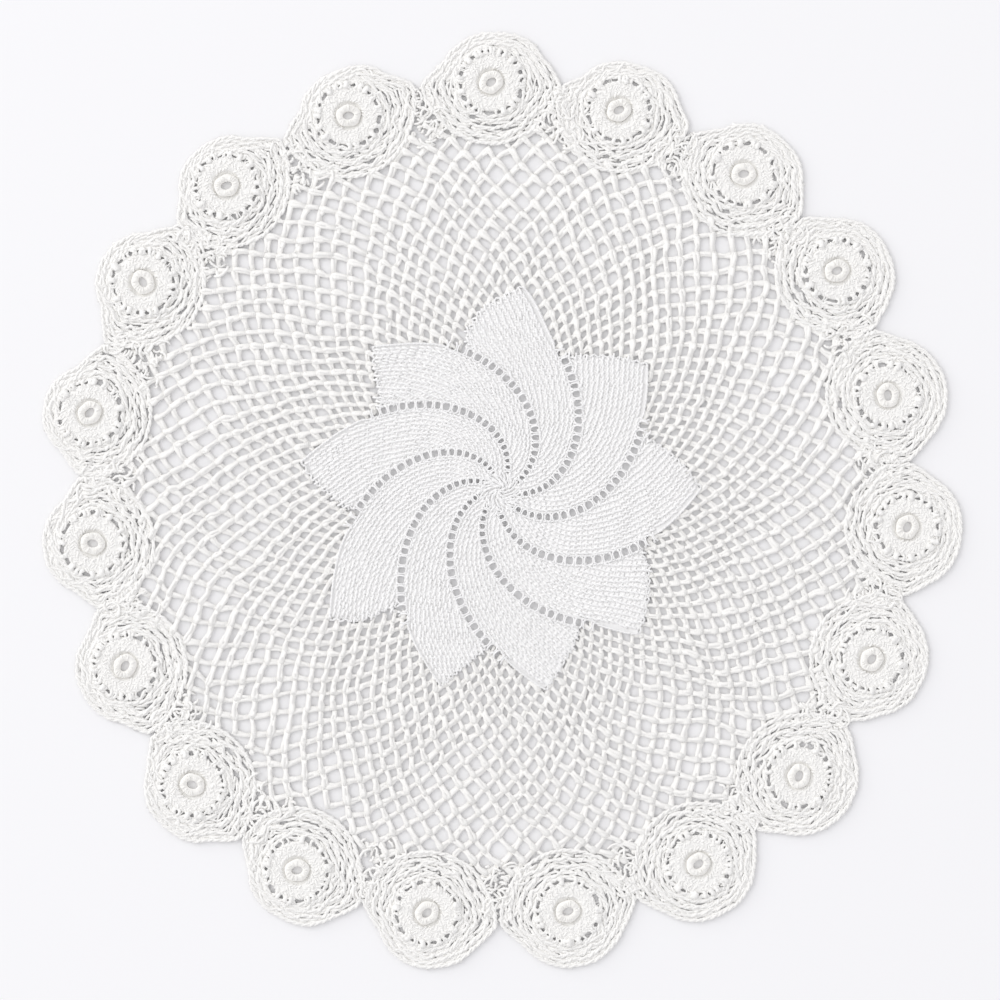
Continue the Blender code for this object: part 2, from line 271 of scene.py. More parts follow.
class YarnMesh:
    """Many threads joined in one mesh, each a closed tube with its own tone."""

    SIDES = 4
    CLOSING_STEP = 1
    MIDDLE_TONE = 0.5
    total_triangles = 0

    def __init__(self, name: str, hand: HandWork, unevenness: float = 0.1) -> None:
        """Start an empty mesh.

        Args:
            name: What the piece is called.
            hand: The hand that works its threads.
            unevenness: How much the threads swell and thin, as a share of their radius.
        """
        self.name = name
        self.hand = hand
        self.unevenness = unevenness
        self.points: list = []
        self.corners: list = []
        self.sizes: list = []
        self.places: list = []
        self.tones: list = []
        self.count = 0

    def tube_points(
        self,
        paths: np.ndarray,
        radius: float | np.ndarray,
        closed: bool,
        upright: np.ndarray,
        pressed: float,
    ) -> np.ndarray:
        """Set the ring of points of each tube round each point of its path.

        Args:
            paths: The threads' paths.
            radius: The threads' radius.
            closed: Whether each thread joins its own start.
            upright: A direction that no thread runs along.
            pressed: How thick a thread is, as a share of its width.

        Returns:
            The points by thread, step, side and axis.
        """
        if closed:
            ahead = np.roll(paths, -1, axis=1) - np.roll(paths, 1, axis=1)
        else:
            ahead = np.gradient(paths, axis=1)
        tangent = unit(ahead)
        side = unit(np.cross(np.broadcast_to(upright, tangent.shape), tangent))
        top = np.cross(tangent, side) * pressed
        turns = 2 * math.pi * (np.arange(self.SIDES) + 0.5) / self.SIDES
        uneven = 1 + self.hand.spread(paths.shape[:2], self.unevenness)
        ring = side[:, :, None] * np.cos(turns)[:, None] + top[:, :, None] * np.sin(turns)[:, None]
        return paths[:, :, None] + (radius * uneven)[..., None, None] * ring

    def tube_places(self, paths: np.ndarray, closed: bool) -> np.ndarray:
        """Measure along and round each tube, for each corner of its faces.

        Args:
            paths: The threads' paths.
            closed: Whether each thread joins its own start.

        Returns:
            The millimetres along and the share of a turn round, by corner.
        """
        length = np.linalg.norm(np.diff(paths, axis=1), axis=-1).cumsum(axis=1)
        length = np.concatenate([np.zeros((len(paths), 1)), length], axis=1)
        after = np.roll(length, -1, axis=1)
        after[:, -1] = length[:, -1] + self.CLOSING_STEP
        here = length if closed else length[:, :-1]
        there = after if closed else length[:, 1:]
        around = np.arange(self.SIDES) / self.SIDES
        low, high = np.broadcast_arrays(around, here[..., None])
        low_next, high_next = np.broadcast_arrays(around + 1 / self.SIDES, there[..., None])
        corners = ((high, low), (high, low_next), (high_next, low_next), (high_next, low))
        return np.stack([np.stack(corner, axis=-1) for corner in corners], axis=-2)

    def add_threads(
        self,
        paths: np.ndarray,
        radius: float | np.ndarray,
        closed: bool = False,
        upright: np.ndarray = UPRIGHT,
        pressed: float = 1.0,
    ) -> None:
        """Add threads that all have the same number of points.

        Args:
            paths: Points in millimetres, shaped (threads, points, 3).
            radius: The threads' radius, as a number or shaped (threads, points).
            closed: Whether each thread joins its own start.
            upright: A direction that no thread runs along.
            pressed: How thick a thread is, as a share of its width.
        """
        threads, steps = paths.shape[:2]
        points = self.tube_points(paths, radius, closed, upright, pressed)
        index = self.count + np.arange(points.size // 3).reshape(threads, steps, self.SIDES)
        first = index if closed else index[:, :-1]
        second = np.roll(index, -1, axis=1) if closed else index[:, 1:]
        quads = np.stack(
            [first, np.roll(first, -1, axis=2), np.roll(second, -1, axis=2), second], axis=-1
        )
        self.points.append(points.reshape(-1, 3))
        self.corners.append(quads.reshape(-1))
        self.sizes.append(np.full(quads.size // 4, 4))
        self.places.append(self.tube_places(paths, closed).reshape(-1, 2))
        if not closed:
            for end in (index[:, 0, ::-1], index[:, -1]):
                self.corners.append(end.reshape(-1))
                self.sizes.append(np.full(threads, self.SIDES))
                self.places.append(np.zeros((end.size, 2)))
        tone = self.hand.random.uniform(0, 1, (threads, 1)) * np.ones((1, steps * self.SIDES))
        self.tones.append(tone.reshape(-1))
        self.count += points.size // 3

    def add_surface(self, points: np.ndarray, corners: np.ndarray) -> None:
        """Add a plain surface of four-sided faces, in a middling tone.

        Args:
            points: Points in millimetres, shaped (points, 3).
            corners: The faces' corners, shaped (faces, 4), counted from 0.
        """
        self.points.append(points)
        self.corners.append((corners + self.count).reshape(-1))
        self.sizes.append(np.full(len(corners), 4))
        self.places.append(points[corners.reshape(-1), :2])
        self.tones.append(np.full(len(points), self.MIDDLE_TONE))
        self.count += len(points)

    def make(self, finish: "CottonFinish") -> bpy.types.Object:
        """Make the piece.

        Args:
            finish: The finish that it wears.

        Returns:
            The new object, riding on the body.
        """
        mesh = bpy.data.meshes.new(self.name)
        points = np.concatenate(self.points) * MM
        corners = np.concatenate(self.corners)
        sizes = np.concatenate(self.sizes)
        mesh.vertices.add(len(points))
        mesh.vertices.foreach_set("co", points.ravel())
        mesh.loops.add(len(corners))
        mesh.loops.foreach_set("vertex_index", corners)
        mesh.polygons.add(len(sizes))
        mesh.polygons.foreach_set("loop_start", np.cumsum(sizes) - sizes)
        mesh.polygons.foreach_set("use_smooth", np.ones(len(sizes), bool))
        mesh.update(calc_edges=True)
        along = mesh.uv_layers.new(name="along_thread")
        along.uv.foreach_set("vector", np.concatenate(self.places).ravel())
        tone = mesh.attributes.new("tone", "FLOAT", "POINT")
        tone.data.foreach_set("value", np.concatenate(self.tones))
        mesh.validate()
        mesh.materials.append(finish.material())
        piece = bpy.data.objects.new(self.name, mesh)
        bpy.context.scene.collection.objects.link(piece)
        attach(piece, BODY)
        triangles = int((sizes - 2).sum())
        YarnMesh.total_triangles += triangles
        LOG.info("%s: %d triangles", self.name, triangles)
        return piece


class PliedYarn:
    """The shared node group of plied cotton: its height, its tone and its fluff."""

    NAME = "plied_cotton"
    INPUTS = {"Ply length": 1.6, "Fibre scale": 1900.0, "Fibre strength": 0.9, "Patch scale": 28.0}
    FIBRE_DETAIL = 3
    PATCH_DETAIL = 2
    TONE_SHARE = 0.6

    @classmethod
    def group(cls) -> bpy.types.NodeTree:
        """Find the group, or build it the first time."""
        found = bpy.data.node_groups.get(cls.NAME)
        return found or cls().build()

    def build(self) -> bpy.types.NodeTree:
        """Build the group: two plies that wind round the thread, under fine fibres.

        Returns:
            The new node group.
        """
        tree = bpy.data.node_groups.new(self.NAME, "ShaderNodeTree")
        self.tree = tree
        for name, default in self.INPUTS.items():
            socket = tree.interface.new_socket(name, in_out="INPUT", socket_type="NodeSocketFloat")
            socket.default_value = default
        for name in ("Height", "Tone"):
            tree.interface.new_socket(name, in_out="OUTPUT", socket_type="NodeSocketFloat")
        given = tree.nodes.new("NodeGroupInput")
        result = tree.nodes.new("NodeGroupOutput")
        spot = tree.nodes.new("ShaderNodeTexCoord")
        along = tree.nodes.new("ShaderNodeUVMap")
        along.uv_map = "along_thread"
        parts = tree.nodes.new("ShaderNodeSeparateXYZ")
        tree.links.new(along.outputs["UV"], parts.inputs[0])
        wound = self.maths("DIVIDE", parts.outputs["X"], given.outputs["Ply length"])
        twist = self.maths("ADD", wound, parts.outputs["Y"])
        turn = self.maths("MULTIPLY", twist, 2 * math.pi)
        ply = self.maths("ABSOLUTE", self.maths("SINE", turn))
        fibre = self.noise(spot.outputs["Object"], given.outputs["Fibre scale"], self.FIBRE_DETAIL)
        patch = self.noise(spot.outputs["Object"], given.outputs["Patch scale"], self.PATCH_DETAIL)
        fluff = self.maths("MULTIPLY", fibre, given.outputs["Fibre strength"])
        height = self.maths("ADD", ply, fluff)
        tone = tree.nodes.new("ShaderNodeAttribute")
        tone.attribute_name = "tone"
        thread = self.maths("MULTIPLY", tone.outputs["Fac"], self.TONE_SHARE)
        mixed = self.maths("ADD", thread, patch)
        tree.links.new(height, result.inputs["Height"])
        tree.links.new(mixed, result.inputs["Tone"])
        return tree

    def maths(
        self,
        work: str,
        first: bpy.types.NodeSocket,
        second: bpy.types.NodeSocket | float | None = None,
    ) -> bpy.types.NodeSocket:
        """Add a Math node.

        Args:
            work: The node's operation.
            first: A socket.
            second: A socket or a number, where the operation takes two.

        Returns:
            The node's output.
        """
        node = self.tree.nodes.new("ShaderNodeMath")
        node.operation = work
        self.tree.links.new(first, node.inputs[0])
        if isinstance(second, bpy.types.NodeSocket):
            self.tree.links.new(second, node.inputs[1])
        elif second is not None:
            node.inputs[1].default_value = second
        return node.outputs[0]

    def noise(
        self, spot: bpy.types.NodeSocket, scale: bpy.types.NodeSocket, detail: float
    ) -> bpy.types.NodeSocket:
        """Add a Noise node.

        Args:
            spot: The coordinates it reads.
            scale: The socket that gives its scale.
            detail: Its detail.

        Returns:
            Its value.
        """
        node = self.tree.nodes.new("ShaderNodeTexNoise")
        node.inputs["Detail"].default_value = detail
        self.tree.links.new(spot, node.inputs["Vector"])
        self.tree.links.new(scale, node.inputs["Scale"])
        return node.outputs["Fac"]


@dataclass(frozen=True)
class CottonFinish:
    """A matt white cotton yarn."""

    name: str
    light: tuple
    dark: tuple
    roughness: float = 0.85
    shine: float = 0.2
    sheen: float = 0.2
    ply_length: float = 1.6
    relief_strength: float = 0.6
    relief_depth: float = 0.1

    def material(self) -> bpy.types.Material:
        """Find the finish's material, or build it the first time.

        Returns:
            The material.
        """
        found = bpy.data.materials.get(self.name)
        if found:
            return found
        material = bpy.data.materials.new(self.name)
        material.use_nodes = True
        nodes, links = material.node_tree.nodes, material.node_tree.links
        shader = nodes["Principled BSDF"]
        yarn = nodes.new("ShaderNodeGroup")
        yarn.node_tree = PliedYarn.group()
        yarn.inputs["Ply length"].default_value = self.ply_length
        colour = nodes.new("ShaderNodeMix")
        colour.data_type = "RGBA"
        colour.inputs["A"].default_value = (*self.dark, 1)
        colour.inputs["B"].default_value = (*self.light, 1)
        relief = nodes.new("ShaderNodeBump")
        relief.inputs["Strength"].default_value = self.relief_strength
        relief.inputs["Distance"].default_value = self.relief_depth * MM
        links.new(yarn.outputs["Tone"], colour.inputs["Factor"])
        links.new(colour.outputs["Result"], shader.inputs["Base Color"])
        links.new(yarn.outputs["Height"], relief.inputs["Height"])
        links.new(relief.outputs["Normal"], shader.inputs["Normal"])
        shader.inputs["Roughness"].default_value = self.roughness
        shader.inputs["Sheen Weight"].default_value = self.sheen
        shader.inputs["Specular IOR Level"].default_value = self.shine
        return material


@dataclass
class GroundPlan:
    """Where the swirl, the net, the wheels and the seams between them lie."""

    petals: int = len(EYELET_LINES)
    spiral_start_deg: float = -64.6
    spiral_slope_deg: float = 1.85
    spiral_bend_deg: float = -0.0062
    ring_radii: tuple = (0, 65, 142)
    ring_x: tuple = (-0.2, 2.5, 0.0)
    ring_y: tuple = (4.0, 0.1, 0.0)
    eyelet_radii: tuple = (6, 28)
    eyelet_halves: tuple = (0.6, 1.2)
    join_radius: float = 147.6
    join_wave: float = 3.4
    notch_beyond_holes: float = 2.6
    side_reach_at_deg: float = 60
    notch_ease: float = 1.5
    part_cells: int = 12
    outline_cells: int = 48
    foot_points: int = 25
    seam_points: int = 9

    def __post_init__(self) -> None:
        """Work out the seams and the middle of the outline."""
        self.pitch_deg = FULL_TURN / self.petals
        seams = []
        for wheel, other in zip(WHEELS, WHEELS[1:] + WHEELS[:1], strict=True):
            share = wheel.counter_reach / (wheel.counter_reach + other.clockwise_reach)
            seams.append(wheel.angle_deg + (other.angle_deg - wheel.angle_deg) % FULL_TURN * share)
        self.seams = np.array(seams)
        self.starts = np.roll(self.seams, 1)
        self.widths = (self.seams - self.starts) % FULL_TURN
        self.before = (np.array([w.angle_deg for w in WHEELS]) - self.starts) % FULL_TURN
        self.middle = np.zeros(2)
        scallops = [self.scallop(index, self.part_cells) for index in range(len(WHEELS))]
        corners = np.concatenate(scallops)
        self.middle = (corners.min(axis=0) + corners.max(axis=0)) / 2

    def laid(self, radius: np.ndarray, angle_deg: np.ndarray) -> np.ndarray:
        """Place points of the ground, whose inner rounds lie off centre.

        Args:
            radius: Radii within the ground.
            angle_deg: Angles within the ground.

        Returns:
            Points in the part's frame.
        """
        shift = np.stack(
            [
                np.interp(radius, self.ring_radii, self.ring_x),
                np.interp(radius, self.ring_radii, self.ring_y),
            ],
            axis=-1,
        )
        return polar(radius, angle_deg) + shift - self.middle

    def line_angle(self, index: int, radius: np.ndarray) -> np.ndarray:
        """Follow an eyelet line, or the petal's side that carries it on.

        Args:
            index: Which line.
            radius: Radii.

        Returns:
            The line's angles in degrees.
        """
        line = EYELET_LINES[index % self.petals]
        spiral = self.spiral_start_deg + radius * (
            self.spiral_slope_deg + self.spiral_bend_deg * radius
        )
        share = (radius - line.valley) / (line.tip - line.valley)
        turn = eased(line.turn_deg, line.tip_turn_deg, share)
        return self.pitch_deg * index + spiral + turn

    def lean(self, radius: np.ndarray) -> np.ndarray:
        """Tell how far the eyelet lines lean from straight out, in radians."""
        slope = np.radians(self.spiral_slope_deg + 2 * self.spiral_bend_deg * radius)
        return np.arctan(radius * slope)

    def eyelet_half(self, radius: np.ndarray) -> np.ndarray:
        """Tell half the width of an eyelet line: narrow near the middle."""
        return np.interp(radius, self.eyelet_radii, self.eyelet_halves)

    def petal_width(self, index: int, radius: np.ndarray) -> np.ndarray:
        """Measure a petal straight across, from its eyelet line to the next."""
        span = self.line_angle(index + 1, radius) - self.line_angle(index, radius)
        return radius * np.radians(span) * np.cos(self.lean(radius))

    def petal_end(self, index: int, across: np.ndarray) -> np.ndarray:
        """Follow a petal's cut edge.

        Args:
            index: Which petal.
            across: The share from its own eyelet line to the next.

        Returns:
            The radii at which the petal ends.
        """
        tip = EYELET_LINES[index % self.petals].tip
        valley = EYELET_LINES[(index + 1) % self.petals].valley
        return tip + (valley - tip) * across

    def in_petal(self, radius: np.ndarray, angle_deg: np.ndarray) -> np.ndarray:
        """Tell which points of the ground lie in a petal.

        Args:
            radius: Radii within the ground.
            angle_deg: Angles within the ground.

        Returns:
            True for each point in a petal.
        """
        found = np.zeros(np.broadcast(radius, angle_deg).shape, bool)
        for index in range(self.petals):
            first = self.line_angle(index, radius)
            span = self.line_angle(index + 1, radius) - first
            across = within_half_turn(angle_deg - first) / span
            found |= (across >= 0) & (across <= 1) & (radius <= self.petal_end(index, across))
        return found

    def wavy(self, angle_deg: np.ndarray, middle: float, wave: float) -> np.ndarray:
        """Follow a line that comes in at each wheel and goes out at each seam.

        Args:
            angle_deg: Angles about the net's middle.
            middle: The line's middle radius.
            wave: How far it goes in and out.

        Returns:
            The line's radii.
        """
        angle = np.asarray(angle_deg, float)
        offset = (angle[..., None] - self.starts) % FULL_TURN
        wheel = np.argmax(offset < self.widths, axis=-1)
        here = np.take_along_axis(offset, wheel[..., None], axis=-1)[..., 0] - self.before[wheel]
        after = self.widths[wheel] - self.before[wheel]
        share = np.where(here > 0, here / after, here / self.before[wheel])
        return middle - wave * np.cos(math.pi * share)

    def hole(self, index: int) -> np.ndarray:
        """Place the middle of a wheel's hole."""
        wheel = WHEELS[index]
        return polar(np.array(wheel.radius), np.array(wheel.angle_deg)) - self.middle

    def notch(self, index: int) -> np.ndarray:
        """Place the notch between a wheel and its counter-clockwise neighbour.

        Args:
            index: Which wheel.

        Returns:
            The point in the part's frame.
        """
        wheel, other = WHEELS[index % len(WHEELS)], WHEELS[(index + 1) % len(WHEELS)]
        radius = (wheel.radius + other.radius) / 2 + self.notch_beyond_holes
        return polar(np.array(radius), self.seams[index % len(WHEELS)]) - self.middle

    def scallop(self, index: int, cells: int) -> np.ndarray:
        """Follow a wheel's outer curve, from its clockwise notch to the other.

        Args:
            index: Which wheel.
            cells: How many steps the curve has.

        Returns:
            The points.
        """
        wheel, hole = WHEELS[index], self.hole(index)
        ends = [self.notch(index - 1) - hole, self.notch(index) - hole]
        angles = [math.degrees(math.atan2(y, x)) for x, y in ends]
        bearings = [within_half_turn(angle - wheel.angle_deg) for angle in angles]
        last = [math.hypot(x, y) for x, y in ends]
        bearing = np.linspace(*bearings, cells + 1)
        right = bearing > 0
        side = np.where(right, wheel.counter_reach, wheel.clockwise_reach)
        beyond = np.abs(bearing) - self.side_reach_at_deg
        room = np.abs(np.where(right, bearings[1], bearings[0])) - self.side_reach_at_deg
        share = np.clip(beyond / room, 0, 1) ** self.notch_ease
        crown = eased(0, 1, np.abs(bearing) / self.side_reach_at_deg)
        reach = np.where(
            beyond < 0,
            wheel.reach + (side - wheel.reach) * crown,
            side + (np.where(right, last[1], last[0]) - side) * share,
        )
        return hole + polar(reach, wheel.angle_deg + bearing)

    def wheel_outline(self, index: int) -> np.ndarray:
        """Follow a wheel's whole outline: its scallop, its seams and its join to the net.

        Args:
            index: Which wheel.

        Returns:
            The points, counter-clockwise.
        """
        start, end = self.starts[index], self.starts[index] + self.widths[index]
        angles = end + (start - end) * np.linspace(0, 1, self.foot_points)
        foot = polar(self.wavy(angles, self.join_radius, self.join_wave), angles) - self.middle
        seam = np.linspace(0, 1, self.seam_points)[1:-1, None]
        counter = self.notch(index) + (foot[0] - self.notch(index)) * seam
        clockwise = foot[-1] + (self.notch(index - 1) - foot[-1]) * seam
        return np.concatenate([self.scallop(index, self.outline_cells), counter, foot, clockwise])


@dataclass
class Net:
    """The knitted net: two families of strands, each strand a row of long loops."""

    plan: GroundPlan
    spirals: int = 92
    first_radius: float = 60.0
    last_radius: float = 158.0
    row_radii: tuple = (60, 81, 93, 105, 117, 136, 143)
    row_steps: tuple = (3.4, 4.05, 4.45, 4.7, 4.86, 4.86, 4.6)
    unevenness: float = 0.07
    drift: float = 0.9
    drift_length: float = 60
    drift_start: float = 78
    drift_rise: float = 20
    drift_end: float = 134
    drift_fall: float = 12
    edge_middle: float = 147.3
    edge_wave: float = 6.3
    samples: int = 13
    least_kept: float = 0.05
    overhang: float = 0.35
    thread_radius: float = 1.08
    thread_press: float = 0.45
    thread_swell: tuple = (1.12, 0.92, 1.14, 0.8, 0.8, 1.14, 0.92, 1.12)
    thread_unevenness: float = 0.15
    leg_offset: float = 0.32
    full_length: float = 5.5
    smallest_size: float = 0.76
    along_unevenness: float = 0.02
    opening_unevenness: float = 0.28
    bow: float = 0.05
    side_unevenness: float = 0.09
    height_unevenness: float = 0.06
    sectors: int = 2
    seed: int = 11

    loop = (
        PathPoint(-0.06, 0.95, 0.98),
        PathPoint(0.48, 0.85, 1.16),
        PathPoint(0.86, 1.55, 1.26),
        PathPoint(1.12, 0.80, 1.32),
        PathPoint(1.12, -0.80, 1.32),
        PathPoint(0.86, -1.55, 1.26),
        PathPoint(0.48, -0.85, 1.16),
        PathPoint(-0.06, -0.95, 0.98),
    )
    lifts = {Lean.COUNTER_CLOCKWISE: 0.12, Lean.CLOCKWISE: -0.1}

    def __post_init__(self) -> None:
        """Work out where the strands cross."""
        self.hand = HandWork(self.seed)
        self.half_step_deg = FULL_TURN / (2 * self.spirals)
        self.knots = self.crossings()

    def row_step(self, radius: float) -> float:
        """Tell how far apart the rounds of crossings are."""
        return np.interp(radius, self.row_radii, self.row_steps)

    def crossings(self) -> tuple:
        """Work out where the strands cross.

        Returns:
            The rows, then the radii and angles within the ground and the points, by row and spiral.
        """
        rounds = [self.first_radius]
        while rounds[-1] < self.last_radius:
            rounds.append(rounds[-1] + self.row_step(rounds[-1]))
        rows = np.arange(len(rounds))
        angle = (2 * np.arange(self.spirals) + rows[:, None] % 2) * self.half_step_deg
        radius = np.broadcast_to(np.array(rounds)[:, None], angle.shape)
        points = self.plan.laid(radius, angle)
        side = radius * math.radians(self.half_step_deg) * math.sqrt(2)
        points = points + self.hand.spread(points.shape, self.unevenness) * side[..., None]
        begun = eased(0, 1, (radius - self.drift_start) / self.drift_rise)
        free = begun * eased(1, 0, (radius - self.drift_end) / self.drift_fall)
        points = points + self.hand.drift(points, self.drift, self.drift_length) * free[..., None]
        return rows, radius, angle, points

    def strands(self, lean: Lean) -> tuple:
        """Work out the sides of the meshes that lean one way.

        Args:
            lean: The family of strands.

        Returns:
            The sides' start points, end points and middle angles.
        """
        rows, radius, angle, points = self.knots
        starts, ends, middles = [], [], []
        share = np.linspace(0, 1, self.samples)
        for row in range(len(rows) - 1):
            odd = rows[row] % 2
            step = (1 if odd else 0) if lean is Lean.COUNTER_CLOCKWISE else (0 if odd else -1)
            target = np.roll(points[row + 1], -step, axis=0)
            between = angle[row][:, None] + lean.value * self.half_step_deg * share
            reach = radius[row][:, None] + (radius[row + 1] - radius[row])[:, None] * share
            edge = self.plan.wavy(between, self.edge_middle, self.edge_wave)
            free = ~self.plan.in_petal(reach, between) & (reach < edge)
            kept = free.mean(axis=1) > self.least_kept
            first = np.argmax(free, axis=1) / (self.samples - 1)
            first = np.maximum(first - self.overhang, 0)
            last = 1 - np.argmax(free[:, ::-1], axis=1) / (self.samples - 1)
            last = np.minimum(last + self.overhang, 1)
            way = target - points[row]
            starts.append((points[row] + way * first[:, None])[kept])
            ends.append((points[row] + way * last[:, None])[kept])
            middles.append((angle[row] % FULL_TURN)[kept])
        return np.concatenate(starts), np.concatenate(ends), np.concatenate(middles)

    def loops(self, lean: Lean) -> tuple:
        """Lay one long loop of thread along each side.

        Args:
            lean: The family of strands.

        Returns:
            The loops' paths, thread radii and middle angles.
        """
        start, end, middle = self.strands(lean)
        table = np.array(self.loop)
        every, each = (len(start), len(table)), (len(start), 1)
        along = table[:, 0] + self.hand.spread(every, self.along_unevenness)
        way = end - start
        length = np.linalg.norm(way, axis=-1, keepdims=True)
        across = quarter_turn(unit(way))
        size = np.clip(length / self.full_length, self.smallest_size, 1.0)
        opened = self.leg_offset * size * (1 + self.hand.spread(each, self.opening_unevenness))
        bowed = self.hand.spread(each, self.bow) * length * np.sin(math.pi * along.clip(0, 1))
        offset = table[:, 1] * opened + bowed + self.hand.spread(every, self.side_unevenness)
        lengthways = way[:, None] * along[..., None]
        flat = start[:, None] + lengthways + across[:, None] * offset[..., None]
        height = table[:, 2] + self.lifts[lean] + self.hand.spread(each, self.height_unevenness)
        return raised(flat, height), self.thread_radius * size * np.array(self.thread_swell), middle

    def build(self, finish: CottonFinish) -> list:
        """Make the net in sectors.

        Args:
            finish: The yarn's finish.

        Returns:
            The pieces.
        """
        families = [self.loops(lean) for lean in Lean]
        pieces = []
        for sector in range(self.sectors):
            yarn = YarnMesh(f"net_{sector + 1}", self.hand, self.thread_unevenness)
            for paths, radius, middle in families:
                chosen = (middle * self.sectors // FULL_TURN).astype(int) == sector
                yarn.add_threads(paths[chosen], radius[chosen], pressed=self.thread_press)
            pieces.append(yarn.make(finish))
        return pieces


@dataclass
class Petal:
    """One petal of the swirl: columns of crossed stitches, edged with rope."""

    plan: GroundPlan
    index: int
    start_radius: float = 7.0
    last_radius: float = 92.0
    run_points: int = 900
    column_pitch: float = 1.72
    first_column: float = 2.1
    row_pitch: float = 2.45
    row_shift: float = -0.62
    rows_before: int = 12
    rows_beyond: int = 14
    run_unevenness: float = 0.16
    across_unevenness: float = 0.1
    drift: float = 0.16
    drift_length: float = 14
    valley_ease: float = 4
    near_gap: float = 0.1
    rope_gap: float = 0.4
    edge_inset: float = 0.9
    edge_unevenness: float = 0.5
    thread_radius: float = 0.6
    thread_press: float = 0.78
    under_share: float = 0.85
    leg_unevenness: float = 0.05
    height_unevenness: float = 0.07
    heading_step: float = 0.2
    rope_offset: float = 0.6
    rope_width: float = 0.55
    rope_rise: float = 0.26
    rope_thread: float = 0.42
    rope_twist: float = 3.0
    rope_step: float = 0.75
    rope_unevenness: float = 0.04
    rope_heights: tuple = (1.6, 1.6, 1.35)
    edge_points: tuple = (90, 80, 40)
    near_short: float = 0.4
    far_short: float = 0.2
    cut_short: float = 0.5
    cut_wave: float = 0.45
    cut_wave_pace: float = 60
    base_cells: tuple = (46, 9)
    base_top: float = 1.54
    base_foot: float = 0.15
    base_short: float = 0.8
    base_inset: float = 0.5
    first_seed: int = 100

    over_leg = (
        PathPoint(-0.66, 0.14, 1.40),
        PathPoint(-0.22, 0.12, 1.74),
        PathPoint(0.22, -0.10, 1.74),
        PathPoint(0.66, -0.18, 1.40),
    )
    under_leg = (
        PathPoint(-0.22, 0.04, 1.36),
        PathPoint(0.00, 0.52, 1.62),
        PathPoint(0.22, 0.98, 1.36),
    )

    def __post_init__(self) -> None:
        """Measure the run along the petal's curve."""
        self.hand = HandWork(self.first_seed + self.index)
        self.radii = np.linspace(self.start_radius, self.last_radius, self.run_points)
        lean = self.plan.lean((self.radii[1:] + self.radii[:-1]) / 2)
        self.run = np.concatenate([[0], np.cumsum(np.diff(self.radii) / np.cos(lean))])

    def near_half(self, radius: np.ndarray) -> np.ndarray:
        """Tell how far the petal's near side is from its eyelet line, which ends at the valley."""
        beyond = (radius - EYELET_LINES[self.index].valley) / self.valley_ease
        return eased(1, 0, beyond) * self.plan.eyelet_half(radius) + self.near_gap

    def place(self, radius: np.ndarray, across: np.ndarray) -> np.ndarray:
        """Place points of the petal."""
        turn = np.degrees(across / (radius * np.cos(self.plan.lean(radius))))
        return self.plan.laid(radius, self.plan.line_angle(self.index, radius) + turn)

    def heading(self, radius: np.ndarray, across: np.ndarray) -> np.ndarray:
        """Tell which way the columns of stitches run."""
        ahead = self.place(radius + self.heading_step, across)
        return unit(ahead - self.place(radius - self.heading_step, across))

    def stitches(self) -> tuple:
        """Work out where the stitches lie.

        Returns:
            Their radii and their distances across.
        """
        widest = self.plan.petal_width(self.index, self.radii).max()
        columns = np.arange(int(widest / self.column_pitch) + 1)
        across = self.rope_offset + self.first_column + self.column_pitch * columns
        rows = np.arange(-self.rows_before, int(self.run[-1] / self.row_pitch) + self.rows_beyond)
        run = rows[:, None] * self.row_pitch + self.row_shift * across
        run = run + self.hand.spread(run.shape, self.run_unevenness)
        across = across + self.hand.spread(run.shape, self.across_unevenness)
        drift = self.hand.drift(np.stack([run, across], axis=-1), self.drift, self.drift_length)
        across = across + drift[..., 0]
        radius = np.interp(run, self.run, self.radii, left=np.nan, right=np.nan)
        width = self.plan.petal_width(self.index, radius)
        with np.errstate(invalid="ignore"):
            end = self.plan.petal_end(self.index, across / width)
            far = width - self.plan.eyelet_half(radius) - self.rope_offset - self.rope_gap
            near = self.near_half(radius) + self.rope_offset + self.rope_gap
            kept = (across < far) & (across > near)
            uneven = self.hand.spread(radius.shape, self.edge_unevenness)
            kept &= radius < end - self.edge_inset + uneven
        return radius[kept], across[kept]

    def legs(self, table: tuple, radius: np.ndarray, across: np.ndarray) -> np.ndarray:
        """Lay one leg of each stitch.

        Args:
            table: The leg's points.
            radius: The stitches' radii.
            across: The stitches' distances across.

        Returns:
            The legs' paths.
        """
        points = np.array(table)
        each, every = (len(radius), 1), (len(radius), len(points))
        middle = self.place(radius, across)[:, None]
        column = self.heading(radius, across)
        stretch = 1 + self.hand.spread(each, self.leg_unevenness)
        along = points[:, 0] * self.row_pitch * stretch
        aside = points[:, 1] * self.column_pitch + self.hand.spread(every, self.leg_unevenness)
        side = quarter_turn(column)
        flat = middle + column[:, None] * along[..., None] + side[:, None] * aside[..., None]
        return raised(flat, points[:, 2] + self.hand.spread(each, self.height_unevenness))

    def rope(self, line: np.ndarray, height: float) -> np.ndarray:
        """Twist two threads along a line.

        Args:
            line: The line's points.
            height: How high it lies.

        Returns:
            The two threads' paths.
        """
        run = run_along(line)
        even = np.linspace(0, run[-1], int(run[-1] / self.rope_step))
        smooth = np.stack([np.interp(even, run, line[:, axis]) for axis in range(2)], axis=-1)
        side = quarter_turn(unit(np.gradient(smooth, axis=0)))
        phase = 2 * math.pi * even / self.rope_twist
        threads = []
        for turn in (0, math.pi):
            offset = np.sin(phase + turn) * self.rope_width / 2
            offset = offset + self.hand.spread(even.shape, self.rope_unevenness)
            tall = height + self.rope_rise * np.cos(phase + turn)
            threads.append(raised(smooth + side * offset[:, None], tall))
        return np.array(threads)

